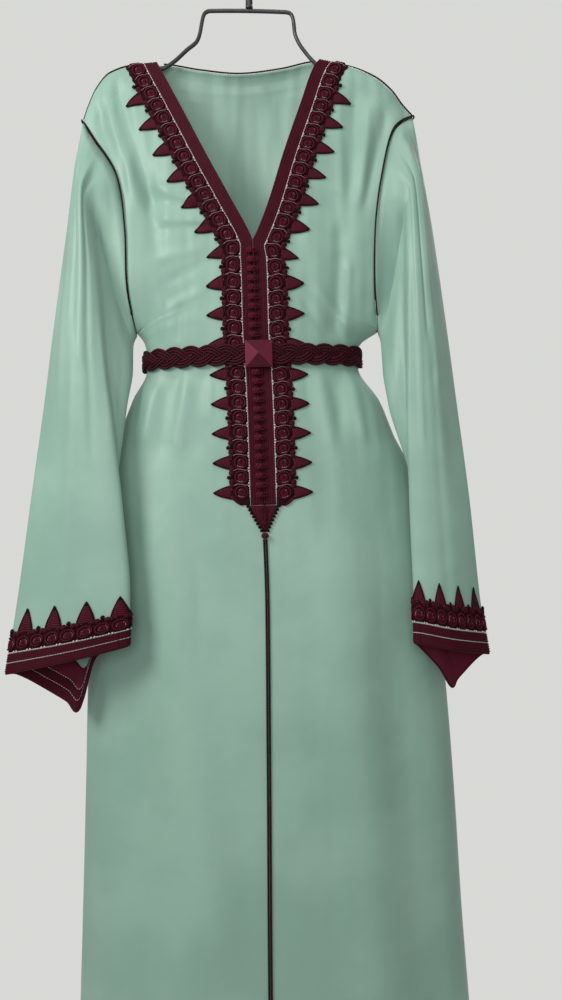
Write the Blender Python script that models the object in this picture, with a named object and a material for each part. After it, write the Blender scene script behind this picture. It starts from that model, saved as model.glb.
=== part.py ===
"""Kaftan on a wire hanger, modelled as a maker cuts and sews it.

Metres, Z up, front towards -Y. The origin is the inner top of the hook, where a rail bears.
Positions down the garment are given as drops below the origin.
"""
import math

import bmesh
import bpy
from mathutils import Matrix, Vector

for old in list(bpy.data.objects):
    bpy.data.objects.remove(old, do_unlink=True)

# Driving sizes
WALL = 0.0020
GAP = 0.0003
TRIM_WALL = 0.0012
TRIM_LIFT = 0.0007
LACE_LIFT = 0.0009
BRAID_WIDTH = 0.0170
LACE_WIDTH = 0.0270
LEAF_LENGTH = 0.0215
BUTTON_WIDTH = 0.0112
BUTTON_DEPTH = 0.0070
BUTTON_PITCH = 0.0126
BUTTON_SHIFT = 0.0042
BUTTON_TOP = 0.4459
BUTTON_END = 0.7810
PLACKET_END = 0.7870
PLACKET_TIP = 0.8230
BELT_DROP = 0.5855
BELT_HEIGHT = 0.0310
BELT_LIFT = 0.0026
BELT_LOBE = 0.0240
BUCKLE_SIDE = 0.0370
BUCKLE_DEPTH = 0.0100
CORD_RADIUS = 0.0015
PIPING_RADIUS = 0.0013
WIRE_RADIUS = 0.0028
POST_RADIUS = 0.0052

COLOURS = {
    "cloth": (0.33, 0.52, 0.44, 1.0),
    "braid": (0.060, 0.008, 0.014, 1.0),
    "lace": (0.075, 0.012, 0.020, 1.0),
    "satin": (0.120, 0.016, 0.040, 1.0),
    "cord": (0.035, 0.012, 0.016, 1.0),
    "metal": (0.020, 0.022, 0.021, 1.0),
}


def table(names, rows):
    """A table as one list of numbers for each named column."""
    return {name: [row[index] for row in rows] for index, name in enumerate(names)}


def slope(xs, ys, index):
    """Monotone slope of a curve through the points at one of them."""
    if index == 0 or index == len(xs) - 1:
        near = 0 if index == 0 else index - 1
        return (ys[near + 1] - ys[near]) / (xs[near + 1] - xs[near])
    before = (ys[index] - ys[index - 1]) / (xs[index] - xs[index - 1])
    after = (ys[index + 1] - ys[index]) / (xs[index + 1] - xs[index])
    if before * after <= 0.0:
        return 0.0
    return 2.0 * before * after / (before + after)


def smooth(xs, ys, x):
    """Value at x of a smooth curve through the points, without overshoot."""
    if x <= xs[0]:
        return ys[0]
    if x >= xs[-1]:
        return ys[-1]
    index = 0
    while x > xs[index + 1]:
        index += 1
    span = xs[index + 1] - xs[index]
    t = (x - xs[index]) / span
    start = slope(xs, ys, index) * span
    end = slope(xs, ys, index + 1) * span
    return ((2 * t ** 3 - 3 * t ** 2 + 1) * ys[index] + (t ** 3 - 2 * t ** 2 + t) * start
            + (3 * t ** 2 - 2 * t ** 3) * ys[index + 1] + (t ** 3 - t ** 2) * end)


def column(source, key, name, value):
    """Value of a named column where the key column has the value."""
    return smooth(source[key], source[name], value)


def around(points, u):
    """Point at u on a closed smooth curve through the guide points."""
    count = len(points)
    base = math.floor(u)
    t = u - base
    p0, p1, p2, p3 = (points[(base + step) % count] for step in (-1, 0, 1, 2))
    return 0.5 * (2 * p1 + (p2 - p0) * t + (2 * p0 - 5 * p1 + 4 * p2 - p3) * t ** 2
                  + (3 * p1 - p0 - 3 * p2 + p3) * t ** 3)


def place(x, drop, y):
    """A point from its place across, its drop and its depth."""
    return Vector((x, y, -drop))


# The line down the middle of the front, where the two fronts meet
MIDDLE = table(("drop", "x"), [
    (0.430, -0.0010), (0.480, 0.0006), (0.550, 0.0010), (0.620, 0.0042), (0.700, 0.0060),
    (0.800, 0.0070), (0.823, 0.0080), (0.907, 0.0095), (1.110, 0.0075), (1.420, 0.0035),
    (1.645, 0.0020)])

# The edge of the neck opening and the top line of each shoulder
NECK = {
    "left": table(("drop", "x"), [
        (0.1686, -0.1300), (0.1800, -0.1245), (0.2390, -0.0955), (0.3080, -0.0620),
        (0.3736, -0.0285), (0.4231, -0.0035), (0.4300, -0.0012)]),
    "right": table(("drop", "x"), [
        (0.1700, 0.0960), (0.1831, 0.0872), (0.2383, 0.0677), (0.3102, 0.0427),
        (0.3788, 0.0209), (0.4231, 0.0030), (0.4300, -0.0008)]),
}
SHOULDER = {
    "left": table(("across", "drop"), [
        (0.1300, 0.1686), (0.1686, 0.1719), (0.1968, 0.1811), (0.2154, 0.2017),
        (0.2286, 0.2295), (0.2346, 0.2461)]),
    "right": table(("across", "drop"), [
        (0.0960, 0.1700), (0.1393, 0.1795), (0.1740, 0.1945), (0.1974, 0.2146),
        (0.2110, 0.2340), (0.2247, 0.2500)]),
}
BACK_NECK = table(("x", "drop"), [
    (-0.1300, 0.1686), (-0.1200, 0.1672), (-0.0717, 0.1735), (-0.0153, 0.1790),
    (0.0414, 0.1745), (0.0870, 0.1680), (0.0960, 0.1700)])

# The armhole seam: guide points from the shoulder tip down the front, up the back
ARMHOLE = {
    "left": [place(*row) for row in (
        (-0.2346, 0.2461, 0.0000), (-0.2180, 0.2760, -0.0130), (-0.1850, 0.3340, -0.0290),
        (-0.1735, 0.4100, -0.0350), (-0.1715, 0.4850, -0.0320), (-0.1650, 0.5440, -0.0010),
        (-0.1730, 0.4720, 0.0300), (-0.1765, 0.3850, 0.0340), (-0.1900, 0.3180, 0.0270),
        (-0.2180, 0.2740, 0.0130))],
    "right": [place(*row) for row in (
        (0.2247, 0.2500, 0.0000), (0.1960, 0.2720, -0.0130), (0.1760, 0.3444, -0.0300),
        (0.1650, 0.4150, -0.0350), (0.1620, 0.4950, -0.0320), (0.1700, 0.5480, -0.0010),
        (0.1680, 0.4750, 0.0300), (0.1700, 0.3900, 0.0340), (0.1830, 0.3180, 0.0270),
        (0.2040, 0.2700, 0.0130))],
}

# The side seams below the underarm
SIDE = {
    "left": table(("drop", "across"), [
        (0.5440, 0.1650), (0.5600, 0.1545), (0.5750, 0.1520), (0.5980, 0.1525),
        (0.6367, 0.1725), (0.6923, 0.1935), (0.7759, 0.2120), (0.8876, 0.2298),
        (0.9980, 0.2419), (1.1547, 0.2485), (1.2890, 0.2543), (1.4750, 0.2631),
        (1.6400, 0.2710)]),
    "right": table(("drop", "across"), [
        (0.5480, 0.1700), (0.5640, 0.1460), (0.5750, 0.1400), (0.5980, 0.1405),
        (0.6467, 0.1701), (0.6975, 0.1901), (0.7301, 0.2060), (0.8131, 0.2241),
        (0.8974, 0.2391), (1.0307, 0.2531), (1.2102, 0.2634), (1.3447, 0.2689),
        (1.4863, 0.2772), (1.6400, 0.2860)]),
}

# Rows of the body: drop at the middle, place on the armhole, drop at the side seam,
# depth of front and back, roundness of the section, share of the shoulder's curve kept
BODY = table(("row", "drop", "armhole", "side", "front", "back", "round", "bend"), [
    (0, 0.1690, 0.00, 0.0000, -0.00015, 0.00015, 0.0, 1.00),
    (1, 0.1698, 0.26, 0.0000, -0.0052, 0.0054, 0.0, 1.00),
    (2, 0.1745, 0.52, 0.0000, -0.0094, 0.0100, 0.0, 0.98),
    (3, 0.1860, 0.80, 0.0000, -0.0132, 0.0155, 0.0, 0.90),
    (4, 0.2080, 1.15, 0.0000, -0.0180, 0.0220, 0.0, 0.76),
    (5, 0.2360, 1.55, 0.0000, -0.0240, 0.0280, 0.0, 0.57),
    (6, 0.2670, 2.00, 0.0000, -0.0300, 0.0340, 0.0, 0.38),
    (7, 0.3000, 2.45, 0.0000, -0.0350, 0.0380, 0.0, 0.22),
    (8, 0.3350, 2.90, 0.0000, -0.0395, 0.0410, 0.0, 0.10),
    (9, 0.3680, 3.35, 0.0000, -0.0430, 0.0430, 0.1, 0.04),
    (10, 0.4000, 3.80, 0.0000, -0.0455, 0.0450, 0.2, 0.01),
    (11, 0.4300, 4.25, 0.0000, -0.0470, 0.0460, 0.4, 0.00),
    (12, 0.4560, 4.68, 0.0000, -0.0480, 0.0470, 0.7, 0.00),
    (13, 0.4850, 5.00, 0.5440, -0.0490, 0.0480, 1.0, 0.00),
    (14, 0.5180, 5.00, 0.5540, -0.0500, 0.0490, 1.0, 0.00),
    (15, 0.5450, 5.00, 0.5640, -0.0500, 0.0495, 1.0, 0.00),
    (16, 0.5660, 5.00, 0.5700, -0.0500, 0.0500, 1.0, 0.00),
    (17, 0.6050, 5.00, 0.6050, -0.0500, 0.0500, 1.0, 0.00),
    (18, 0.6350, 5.00, 0.6330, -0.0540, 0.0550, 1.0, 0.00),
    (19, 0.6800, 5.00, 0.6780, -0.0590, 0.0600, 1.0, 0.00),
    (20, 0.7320, 5.00, 0.7300, -0.0625, 0.0640, 1.0, 0.00),
    (21, 0.7870, 5.00, 0.7850, -0.0655, 0.0670, 1.0, 0.00),
    (22, 0.8500, 5.00, 0.8470, -0.0690, 0.0700, 1.0, 0.00),
    (23, 0.9250, 5.00, 0.9210, -0.0740, 0.0750, 1.0, 0.00),
    (24, 1.0100, 5.00, 1.0050, -0.0800, 0.0800, 1.0, 0.00),
    (25, 1.1000, 5.00, 1.0950, -0.0860, 0.0840, 1.0, 0.00),
    (26, 1.2000, 5.00, 1.1950, -0.0920, 0.0880, 1.0, 0.00),
    (27, 1.3100, 5.00, 1.3050, -0.0980, 0.0920, 1.0, 0.00),
    (28, 1.4200, 5.00, 1.4150, -0.1030, 0.0960, 1.0, 0.00),
    (29, 1.5300, 5.00, 1.5250, -0.1080, 0.0990, 1.0, 0.00),
    (30, 1.6450, 5.00, 1.6400, -0.1120, 0.1020, 1.0, 0.00)])

# Large soft folds: both ends, half-width and height out of the cloth, valleys negative
FOLDS = table(("x1", "drop1", "x2", "drop2", "width", "height"), [
    (-0.213, 0.235, -0.183, 0.370, 0.011, -0.0060),
    (-0.186, 0.205, -0.138, 0.370, 0.013, -0.0065),
    (-0.198, 0.225, -0.160, 0.360, 0.011, 0.0040),
    (-0.138, 0.370, -0.118, 0.500, 0.016, -0.0040),
    (0.143, 0.235, 0.137, 0.350, 0.014, -0.0055),
    (0.192, 0.245, 0.156, 0.370, 0.012, -0.0060),
    (0.165, 0.250, 0.147, 0.370, 0.011, 0.0040),
    (0.118, 0.430, 0.108, 0.555, 0.013, -0.0050),
    (0.106, 0.615, 0.112, 0.670, 0.014, -0.0050),
    (-0.115, 0.615, -0.130, 0.700, 0.016, -0.0050),
    (-0.075, 0.615, -0.082, 0.700, 0.014, -0.0030),
    (-0.130, 0.860, -0.070, 1.320, 0.042, 0.0100),
    (-0.185, 1.000, -0.150, 1.500, 0.040, -0.0070),
    (0.110, 0.880, 0.150, 1.400, 0.045, 0.0090),
    (0.175, 1.020, 0.215, 1.500, 0.040, -0.0070)])


def bell(distance, width):
    """A soft bump, one at the middle and nothing two widths away."""
    return math.exp(-1.4 * (distance / width) ** 2)


def folds(x, drop):
    """Height of the soft folds at a place on the body."""
    total = 0.0
    for x1, d1, x2, d2, width, height in zip(*(FOLDS[name] for name in (
            "x1", "drop1", "x2", "drop2", "width", "height"))):
        run = (x2 - x1, d2 - d1)
        length = math.hypot(*run)
        along = ((x - x1) * run[0] + (drop - d1) * run[1]) / length
        beside = ((x - x1) * run[1] - (drop - d1) * run[0]) / length
        past = max(0.0, -along, along - length)
        total += height * bell(beside, width) * bell(past, 2.0 * width)
    return total


def ridge_drop(side, x):
    """Drop of the shoulder seam at a place across."""
    return column(SHOULDER[side], "across", "drop", abs(x))


def body_edge(side, row, back):
    """Point of the body's outer edge at a row: the armhole, then the side seam."""
    place_on = column(BODY, "row", "armhole", row)
    if row <= 13.0:
        turn = 10.0 - place_on if back else place_on
        point = around(ARMHOLE[side], turn)
    else:
        drop = column(BODY, "row", "side", row)
        across = column(SIDE[side], "drop", "across", max(drop, SIDE[side]["drop"][0]))
        point = place(-across if side == "left" else across, drop, 0.0)
    seam = GAP / 2
    point.y = max(point.y, seam) if back else min(point.y, -seam)
    return point


def front_inner(side, row):
    """Point of the front's inner edge at a row: the neck edge, then the middle line."""
    drop = column(BODY, "row", "drop", row)
    side_sign = -1.0 if side == "left" else 1.0
    if drop < 0.430:
        drop = max(drop, NECK[side]["drop"][0])
        x = column(NECK[side], "drop", "x", drop)
    else:
        x = column(MIDDLE, "drop", "x", drop)
    x += side_sign * GAP / 2
    return place(x, drop, column(BODY, "row", "front", row))


def front_point(side, row, share):
    """Point of a front panel at a row and a share of the way from inner to outer edge."""
    inner = front_inner(side, row)
    outer = body_edge(side, row, False)
    roundness = column(BODY, "row", "round", row)
    bend = column(BODY, "row", "bend", row)
    x = inner.x + (outer.x - inner.x) * share
    drop = -(inner.z + (outer.z - inner.z) * share)
    top_inner = front_inner(side, 0)
    top_outer = body_edge(side, 0, False)
    top_x = top_inner.x + (top_outer.x - top_inner.x) * share
    chord = -(top_inner.z + (top_outer.z - top_inner.z) * share)
    drop -= (chord - ridge_drop(side, top_x)) * bend
    flat = 1.0 - share ** (8 if row <= 3 else 2)
    oval = math.sqrt(max(0.0, 1.0 - share ** 2))
    profile = flat + (oval - flat) * roundness
    y = outer.y + (inner.y - outer.y) * profile
    calm = min(1.0, max(0.0, (row - 2.0) / 2.0)) * min(1.0, (1.0 - share) / 0.14)
    waist = min(1.0, max(0.0, abs(drop - BELT_DROP) - 0.020) / 0.025)
    y -= folds(x, drop) * calm * waist
    return place(x, drop, y)


FRONT_WIDTHS = (0.0, BRAID_WIDTH, 0.0280, BRAID_WIDTH + LACE_WIDTH,
                BRAID_WIDTH + LACE_WIDTH + LEAF_LENGTH)
FRONT_SPREAD = 6


def front_shares(side, row):
    """Shares of a row for the trim's width lines, then evenly by angle to the side."""
    inner = front_inner(side, row)
    near = min(max(row, 3.5), 29.5)
    ahead = front_inner(side, near + 0.5) - front_inner(side, near - 0.5)
    run = Vector((ahead.x, ahead.z)).normalized()
    shares = []
    for width in FRONT_WIDTHS:
        low, high = 0.0, 0.9
        for _ in range(24):
            share = 0.5 * (low + high)
            across = front_point(side, row, share) - inner
            if abs(across.x * run.y - across.z * run.x) < width:
                low = share
            else:
                high = share
        shares.append(0.5 * (low + high) if width else 0.0)
    first = math.asin(shares[-1])
    for step in range(1, FRONT_SPREAD + 1):
        shares.append(math.sin(first + (math.pi / 2 - first) * step / FRONT_SPREAD))
    return shares


BACK_SHARES = (0.0, 0.075, 0.14, 0.20, 0.26, 0.311, 0.37, 0.43, 0.49, 0.545, 0.60, 0.643,
               0.70, 0.76, 0.82, 0.88, 0.94, 1.0)


def back_point(row, share):
    """Point of the back panel at a row and a share of the way from left to right."""
    left = body_edge("left", row, True)
    right = body_edge("right", row, True)
    top_left = body_edge("left", 0, True)
    top_right = body_edge("right", 0, True)
    roundness = column(BODY, "row", "round", row)
    keep = max(0.0, 1.0 - row / 13.0) ** 0.8 if row > 2 else 1.0 - 0.04 * row
    part = 0.5 - 0.5 * math.cos(math.pi * share)
    x = left.x + (right.x - left.x) * part
    drop = -(left.z + (right.z - left.z) * part)
    top_x = top_left.x + (top_right.x - top_left.x) * part
    chord = -(top_left.z + (top_right.z - top_left.z) * part)
    bulge = 0.0
    if top_x <= BACK_NECK["x"][0]:
        top_drop = ridge_drop("left", top_x)
    elif top_x >= BACK_NECK["x"][-1]:
        top_drop = ridge_drop("right", top_x)
    else:
        top_drop = column(BACK_NECK, "x", "drop", top_x)
        across = (top_x - BACK_NECK["x"][0]) / (BACK_NECK["x"][-1] - BACK_NECK["x"][0])
        bulge = 0.012 * math.sin(math.pi * across) ** 0.4
    drop -= (chord - top_drop) * keep
    middle = column(BODY, "row", "back", row)
    edge = left.y + (right.y - left.y) * part
    centred = 2.0 * part - 1.0
    flat = 1.0 - centred ** 2
    oval = math.sqrt(max(0.0, 1.0 - centred ** 2))
    if row <= 3:
        flat = 1.0 - centred ** 8
    profile = flat + (oval - flat) * roundness
    y = edge + (middle - edge) * profile + bulge * keep
    wave = 0.006 * math.sin(5.5 * math.pi * share + 0.6) * (1.0 - abs(centred) ** 3)
    y += wave * min(1.0, max(0.0, drop - 0.62) / 0.35)
    y += 0.004 * math.sin(9.0 * math.pi * share) * bell(drop - 0.335, 0.09) * (1.0 - centred ** 4)
    return place(x, drop, y)


# Sleeve sections down from the armhole: the outer fold, the front layer's inner fold and
# the seam under the arm, each with its place across, drop and depth, and the back's depth
SLEEVE = {
    "left": table(("section", "out_x", "out_drop", "out_y", "fold_x", "fold_drop", "fold_y",
                   "under_x", "under_drop", "under_y", "back_y", "tuck"), [
        (1, 0.2462, 0.3170, -0.010, 0.2220, 0.3850, -0.046, 0.1710, 0.5640, -0.012, 0.024, 0.0),
        (2, 0.2575, 0.4100, -0.018, 0.2120, 0.4800, -0.058, 0.1700, 0.6020, -0.026, 0.012, 0.0),
        (3, 0.2749, 0.5439, -0.028, 0.2040, 0.5800, -0.068, 0.1760, 0.6500, -0.042, -0.006, 0.0),
        (4, 0.2857, 0.6384, -0.035, 0.1935, 0.6650, -0.076, 0.1860, 0.7200, -0.048, -0.024, 0.0),
        (5, 0.3012, 0.7741, -0.053, 0.1800, 0.7860, -0.086, 0.2050, 0.8250, -0.052, -0.036, 0.0),
        (6, 0.3184, 0.9067, -0.063, 0.1707, 0.8900, -0.096, 0.2250, 0.9500, -0.057, -0.046, 0.015),
        (7, 0.3325, 1.0012, -0.072, 0.1714, 0.9642, -0.102, 0.2443, 1.0533, -0.062, -0.052, 0.039)]),
    "right": table(("section", "out_x", "out_drop", "out_y", "fold_x", "fold_drop", "fold_y",
                    "under_x", "under_drop", "under_y", "back_y", "tuck"), [
        (1, 0.2335, 0.3201, -0.010, 0.2096, 0.3850, -0.044, 0.1740, 0.5680, -0.012, 0.024, 0.0),
        (2, 0.2457, 0.4137, -0.018, 0.2080, 0.4800, -0.054, 0.1740, 0.6060, -0.026, 0.012, 0.0),
        (3, 0.2600, 0.5510, -0.028, 0.2054, 0.5850, -0.062, 0.1790, 0.6550, -0.040, -0.006, 0.0),
        (4, 0.2690, 0.6500, -0.035, 0.2020, 0.6750, -0.070, 0.2000, 0.7300, -0.046, -0.026, 0.0),
        (5, 0.2798, 0.7862, -0.053, 0.2009, 0.7950, -0.078, 0.2280, 0.8320, -0.050, -0.038, 0.0),
        (6, 0.2895, 0.9224, -0.062, 0.2020, 0.9050, -0.088, 0.2420, 0.9500, -0.054, -0.046, 0.0),
        (7, 0.2980, 0.9892, -0.066, 0.2010, 0.9690, -0.094, 0.2530, 1.0350, -0.054, -0.046, 0.006)]),
}


def sleeve_section(side, section):
    """Guide points around one hanging section of a sleeve."""
    sign = -1.0 if side == "left" else 1.0
    rows = SLEEVE[side]
    value = {name: rows[name][section - 1] for name in rows}
    out = place(sign * value["out_x"], value["out_drop"], value["out_y"])
    fold = place(sign * value["fold_x"], value["fold_drop"], value["fold_y"])
    under = place(sign * value["under_x"], value["under_drop"], value["under_y"])
    back_y = value["back_y"]
    lift = Vector((0.0, 0.0, value["tuck"]))

    def between(start, end, share, y):
        point = start.lerp(end, share)
        point.y = y
        return point

    return [
        out,
        between(out, fold, 0.48, fold.y * 0.97),
        between(fold, out, 0.02, fold.y + 0.003),
        between(fold, under, 0.17, fold.y + 0.6 * (under.y - fold.y)) + lift * 0.35,
        between(fold, under, 0.66, under.y - 0.008) + lift,
        under,
        between(under, out, 0.20, back_y * 0.75 + under.y * 0.25),
        between(under, out, 0.48, back_y),
        between(under, out, 0.78, back_y),
        between(under, out, 0.95, (2 * back_y + out.y) / 3),
    ]


GUIDES = {side: [ARMHOLE[side]] + [sleeve_section(side, number) for number in range(1, 8)]
          for side in ("left", "right")}


def sleeve_point(side, v, u):
    """Point of a sleeve, v down from the armhole to the cuff and u around."""
    sections = list(range(8))
    guides = []
    for index in range(10):
        tracks = [[GUIDES[side][number][index][axis] for number in sections] for axis in range(3)]
        guides.append(Vector([smooth(sections, track, v) for track in tracks]))
    return around(guides, u)


def start_of(u):
    """How far down a sleeve begins, past the seam's allowance, further under the arm."""
    return 0.02 + 0.20 * bell(u - 5.0, 1.3) + 0.03 * (bell(u - 0.8, 0.7) + bell(u - 9.2, 0.7))


SLEEVE_STEPS = (3, 3, 2, 2, 2, 2, 2, 2, 1, 1)
SLEEVE_TURNS = [index + step / count for index, count in enumerate(SLEEVE_STEPS)
                for step in range(count)]
SLEEVE_ROWS = (0.02, 0.35, 0.75, 1.2, 1.7, 2.3, 2.9, 3.5, 4.1, 4.7, 5.2)
CUFF_ROWS = {"left": (5.75, 6.12, 6.42, 6.71, 7.0), "right": (5.50, 5.72, 6.10, 6.55, 7.0)}


def grid_normals(grid, closed):
    """Unit normals of a grid of points from its neighbours."""
    rows = len(grid)
    columns = len(grid[0])
    normals = []
    for r in range(rows):
        line = []
        for c in range(columns):
            down = grid[min(r + 1, rows - 1)][c] - grid[max(r - 1, 0)][c]
            if closed:
                along = grid[r][(c + 1) % columns] - grid[r][c - 1]
            else:
                along = grid[r][min(c + 1, columns - 1)] - grid[r][max(c - 1, 0)]
            line.append(along.cross(down).normalized())
        normals.append(line)
    return normals


def ridge_normal(line, c):
    """Upward direction square to the shoulder seam, in the plane of the seam."""
    low = line[max(c - 1, 0)]
    high = line[min(c + 1, len(line) - 1)]
    run = Vector((high.x - low.x, 0.0, high.z - low.z)).normalized()
    normal = Vector((-run.z, 0.0, run.x))
    return normal if normal.z > 0.0 else -normal


def link(bm, name, colour):
    """Turns a finished bmesh into a named object with its own colour."""
    bmesh.ops.recalc_face_normals(bm, faces=bm.faces)
    mesh = bpy.data.meshes.new(name)
    bm.to_mesh(mesh)
    bm.free()
    thing = bpy.data.objects.new(name, mesh)
    dress(thing, colour)
    return thing


def dress(thing, colour):
    """Adds an object to the garment's collection with a material of its own."""
    material = bpy.data.materials.new(thing.name)
    material.use_nodes = True
    shader = material.node_tree.nodes["Principled BSDF"]
    shader.inputs["Base Color"].default_value = COLOURS[colour]
    shader.inputs["Roughness"].default_value = 0.6
    thing.data.materials.append(material)
    GARMENT.objects.link(thing)


GARMENT = bpy.data.collections.new("kaftan_on_hanger")
bpy.context.scene.collection.children.link(GARMENT)


def shell(name, outer, inner, closed, colour):
    """A wall between an outer and an inner grid of points, both split the same way."""
    bm = bmesh.new()
    rows = len(outer)
    columns = len(outer[0])
    front = [[bm.verts.new(point) for point in line] for line in outer]
    rear = [[bm.verts.new(point) for point in line] for line in inner]
    last = columns if closed else columns - 1

    def quad(a, b, c, d):
        bm.faces.new((a, b, c))
        bm.faces.new((a, c, d))

    for r in range(rows - 1):
        for c in range(last):
            n = (c + 1) % columns
            quad(front[r][c], front[r][n], front[r + 1][n], front[r + 1][c])
            bm.faces.new((rear[r + 1][n], rear[r][n], rear[r][c]))
            bm.faces.new((rear[r + 1][c], rear[r + 1][n], rear[r][c]))
    for c in range(last):
        n = (c + 1) % columns
        quad(rear[0][c], rear[0][n], front[0][n], front[0][c])
        quad(front[-1][c], front[-1][n], rear[-1][n], rear[-1][c])
    if not closed:
        for r in range(rows - 1):
            quad(rear[r + 1][0], rear[r][0], front[r][0], front[r + 1][0])
            quad(front[r + 1][-1], front[r][-1], rear[r][-1], rear[r + 1][-1])
    return link(bm, name, colour)


def panel(name, grid, normals, closed=False, colour="cloth"):
    """A cloth wall of even thickness on a grid of points."""
    half = WALL / 2
    outer = [[p + n * half for p, n in zip(*pair)] for pair in zip(grid, normals)]
    inner = [[p - n * half for p, n in zip(*pair)] for pair in zip(grid, normals)]
    return shell(name, outer, inner, closed, colour)


class Cloth:
    """A panel's points and normals, for trims that lie on it."""

    def __init__(self, grid, normals, closed=False):
        self.grid = grid
        self.normals = normals
        self.closed = closed

    def at(self, row, col, out):
        """Point on the panel's flat facets, moved out along its normal."""
        rows = len(self.grid)
        columns = len(self.grid[0])
        r = min(max(int(math.floor(row)), 0), rows - 2)
        c = int(math.floor(col))
        if not self.closed:
            c = min(max(c, 0), columns - 2)
        fr = row - r
        fc = col - c
        total = Vector((0.0, 0.0, 0.0))
        normal = Vector((0.0, 0.0, 0.0))
        for dr, wr in ((0, 1.0 - fr), (1, fr)):
            for dc, wc in ((0, 1.0 - fc), (1, fc)):
                index = (c + dc) % columns if self.closed else c + dc
                total += self.grid[r + dr][index] * wr * wc
                normal += self.normals[r + dr][index] * wr * wc
        return total + normal.normalized() * out


# Front panels, each with its sleeve edge on the armhole and its side seam below
CLOTH = {}
for side, sign in (("left", -1.0), ("right", 1.0)):
    lines = []
    for row in range(31):
        lines.append([front_point(side, row, share) for share in front_shares(side, row)])
    facing = grid_normals(lines, False)
    for r, line in enumerate(facing):
        for c, normal in enumerate(line):
            if normal.y > 0.0:
                normal.negate()
            if r == 0:
                line[c] = ridge_normal(lines[0], c)
            elif c == 0 and r > 11:
                line[c] = Vector((0.0, -1.0, 0.0))
            elif c == len(line) - 1 and r >= 13:
                line[c] = Vector((sign, 0.0, 0.0))
    CLOTH[side] = Cloth(lines, facing)
    panel("front_" + side, lines, facing)

# Back panel, from the left armhole and side seam to the right
lines = [[back_point(row, share) for share in BACK_SHARES] for row in range(31)]
facing = grid_normals(lines, False)
for r, line in enumerate(facing):
    for c, normal in enumerate(line):
        if normal.y < 0.0:
            normal.negate()
        if r == 0 and not 5 < c < 11:
            line[c] = ridge_normal(lines[0], c)
        elif c == 0 and r >= 13:
            line[c] = Vector((-1.0, 0.0, 0.0))
        elif c == len(line) - 1 and r >= 13:
            line[c] = Vector((1.0, 0.0, 0.0))
CLOTH["back"] = Cloth(lines, facing)
panel("back", lines, facing)

# Sleeves, each one closed tube from the armhole to the cuff
for side, sign in (("left", -1.0), ("right", 1.0)):
    levels = SLEEVE_ROWS + CUFF_ROWS[side]
    lines = [[sleeve_point(side, v, u) for u in SLEEVE_TURNS] for v in levels]
    lines[0] = [sleeve_point(side, start_of(u), u) for u in SLEEVE_TURNS]
    facing = grid_normals(lines, True)
    middle = sum(lines[8], Vector((0.0, 0.0, 0.0))) / len(lines[8])
    if (lines[8][0] - middle).dot(facing[8][0]) < 0.0:
        for line in facing:
            for normal in line:
                normal.negate()
    CLOTH["sleeve_" + side] = Cloth(lines, facing, True)
    panel("sleeve_" + side, lines, facing, True)


def strip(name, cloth, stations, colour, closed=False, lift=TRIM_LIFT, inside=False):
    """A thin trim on a panel: each station is a list of row and column places."""
    near = WALL / 2 + lift
    far = near + TRIM_WALL
    if inside:
        near, far = -far, -near
    outer = [[cloth.at(r, c, far) for r, c in station] for station in stations]
    inner = [[cloth.at(r, c, near) for r, c in station] for station in stations]
    if closed:
        outer = [list(line) for line in zip(*outer)]
        inner = [list(line) for line in zip(*inner)]
    return shell(name, outer, inner, closed, colour)


BRAID_ROWS = list(range(2, 22))
PLACKET_ROW = 21.0


LEAF = table(("phase", "height"), [
    (0.00, 1.00), (0.22, 0.06), (0.50, 0.16)])


def leaf_height(phase):
    """Height of the lace's pointed edge at a phase of its repeat, straight between points."""
    away = abs(phase - round(phase))
    index = 0
    while index < 1 and away > LEAF["phase"][index + 1]:
        index += 1
    low, high = LEAF["phase"][index], LEAF["phase"][index + 1]
    part = (away - low) / (high - low)
    return LEAF["height"][index] + (LEAF["height"][index + 1] - LEAF["height"][index]) * part


LEAF_PHASES = (-0.50, -0.22, 0.00, 0.22)
LEAVES = 15
FIRST_LEAF = {"left": 0.2330, "right": 0.2370}
LAST_LEAF = {"left": 0.7700, "right": 0.7715}

for side in ("left", "right"):
    cloth = CLOTH[side]
    strip("neck_braid_" + side, cloth, [[(row, 0.0), (row, 0.96)] for row in BRAID_ROWS], "braid")
    track = [0.0]
    fine = [index * 0.05 for index in range(40, 421)]
    drops = [-cloth.at(row, 4.0, 0.0).z for row in fine]
    for before, after in zip(fine, fine[1:]):
        track.append(track[-1] + (cloth.at(after, 4.0, 0.0) - cloth.at(before, 4.0, 0.0)).length)
    start = smooth(drops, track, FIRST_LEAF[side])
    pitch = (smooth(drops, track, LAST_LEAF[side]) - start) / (LEAVES - 1)
    stations = []
    for number in range(-1, LEAVES + 1):
        for phase in LEAF_PHASES:
            spot = start + (number + phase) * pitch
            if 0.0 < spot < track[-1]:
                row = smooth(track, fine, spot)
                height = leaf_height(phase) if 0 <= number < LEAVES else 0.10
                stations.append([(row, 1.06), (row, 2.0), (row, 3.0), (row, 3.0 + height)])
    stations = [station for station in stations if station[0][0] < PLACKET_ROW - 0.30]
    stations.insert(0, [(fine[0], 1.06), (fine[0], 2.0), (fine[0], 3.0), (fine[0], 3.06)])
    stations.append([(PLACKET_ROW - 0.22, col) for col in (1.06, 2.0, 2.8, 2.9)])
    stations.append([(PLACKET_ROW, col) for col in (1.06, 1.3, 1.45, 1.55)])
    strip("lace_" + side, cloth, stations, "lace", False, LACE_LIFT)


def body_row(drop):
    """Row of the body at a drop on the middle line."""
    return smooth(BODY["drop"], BODY["row"], drop)


def middle_point(drop, out):
    """A point on the middle line of the front, moved out from the cloth."""
    row = body_row(drop)
    point = CLOTH["left"].at(row, 0.0, 0.0)
    return place(column(MIDDLE, "drop", "x", drop), drop, point.y - out)


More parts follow.
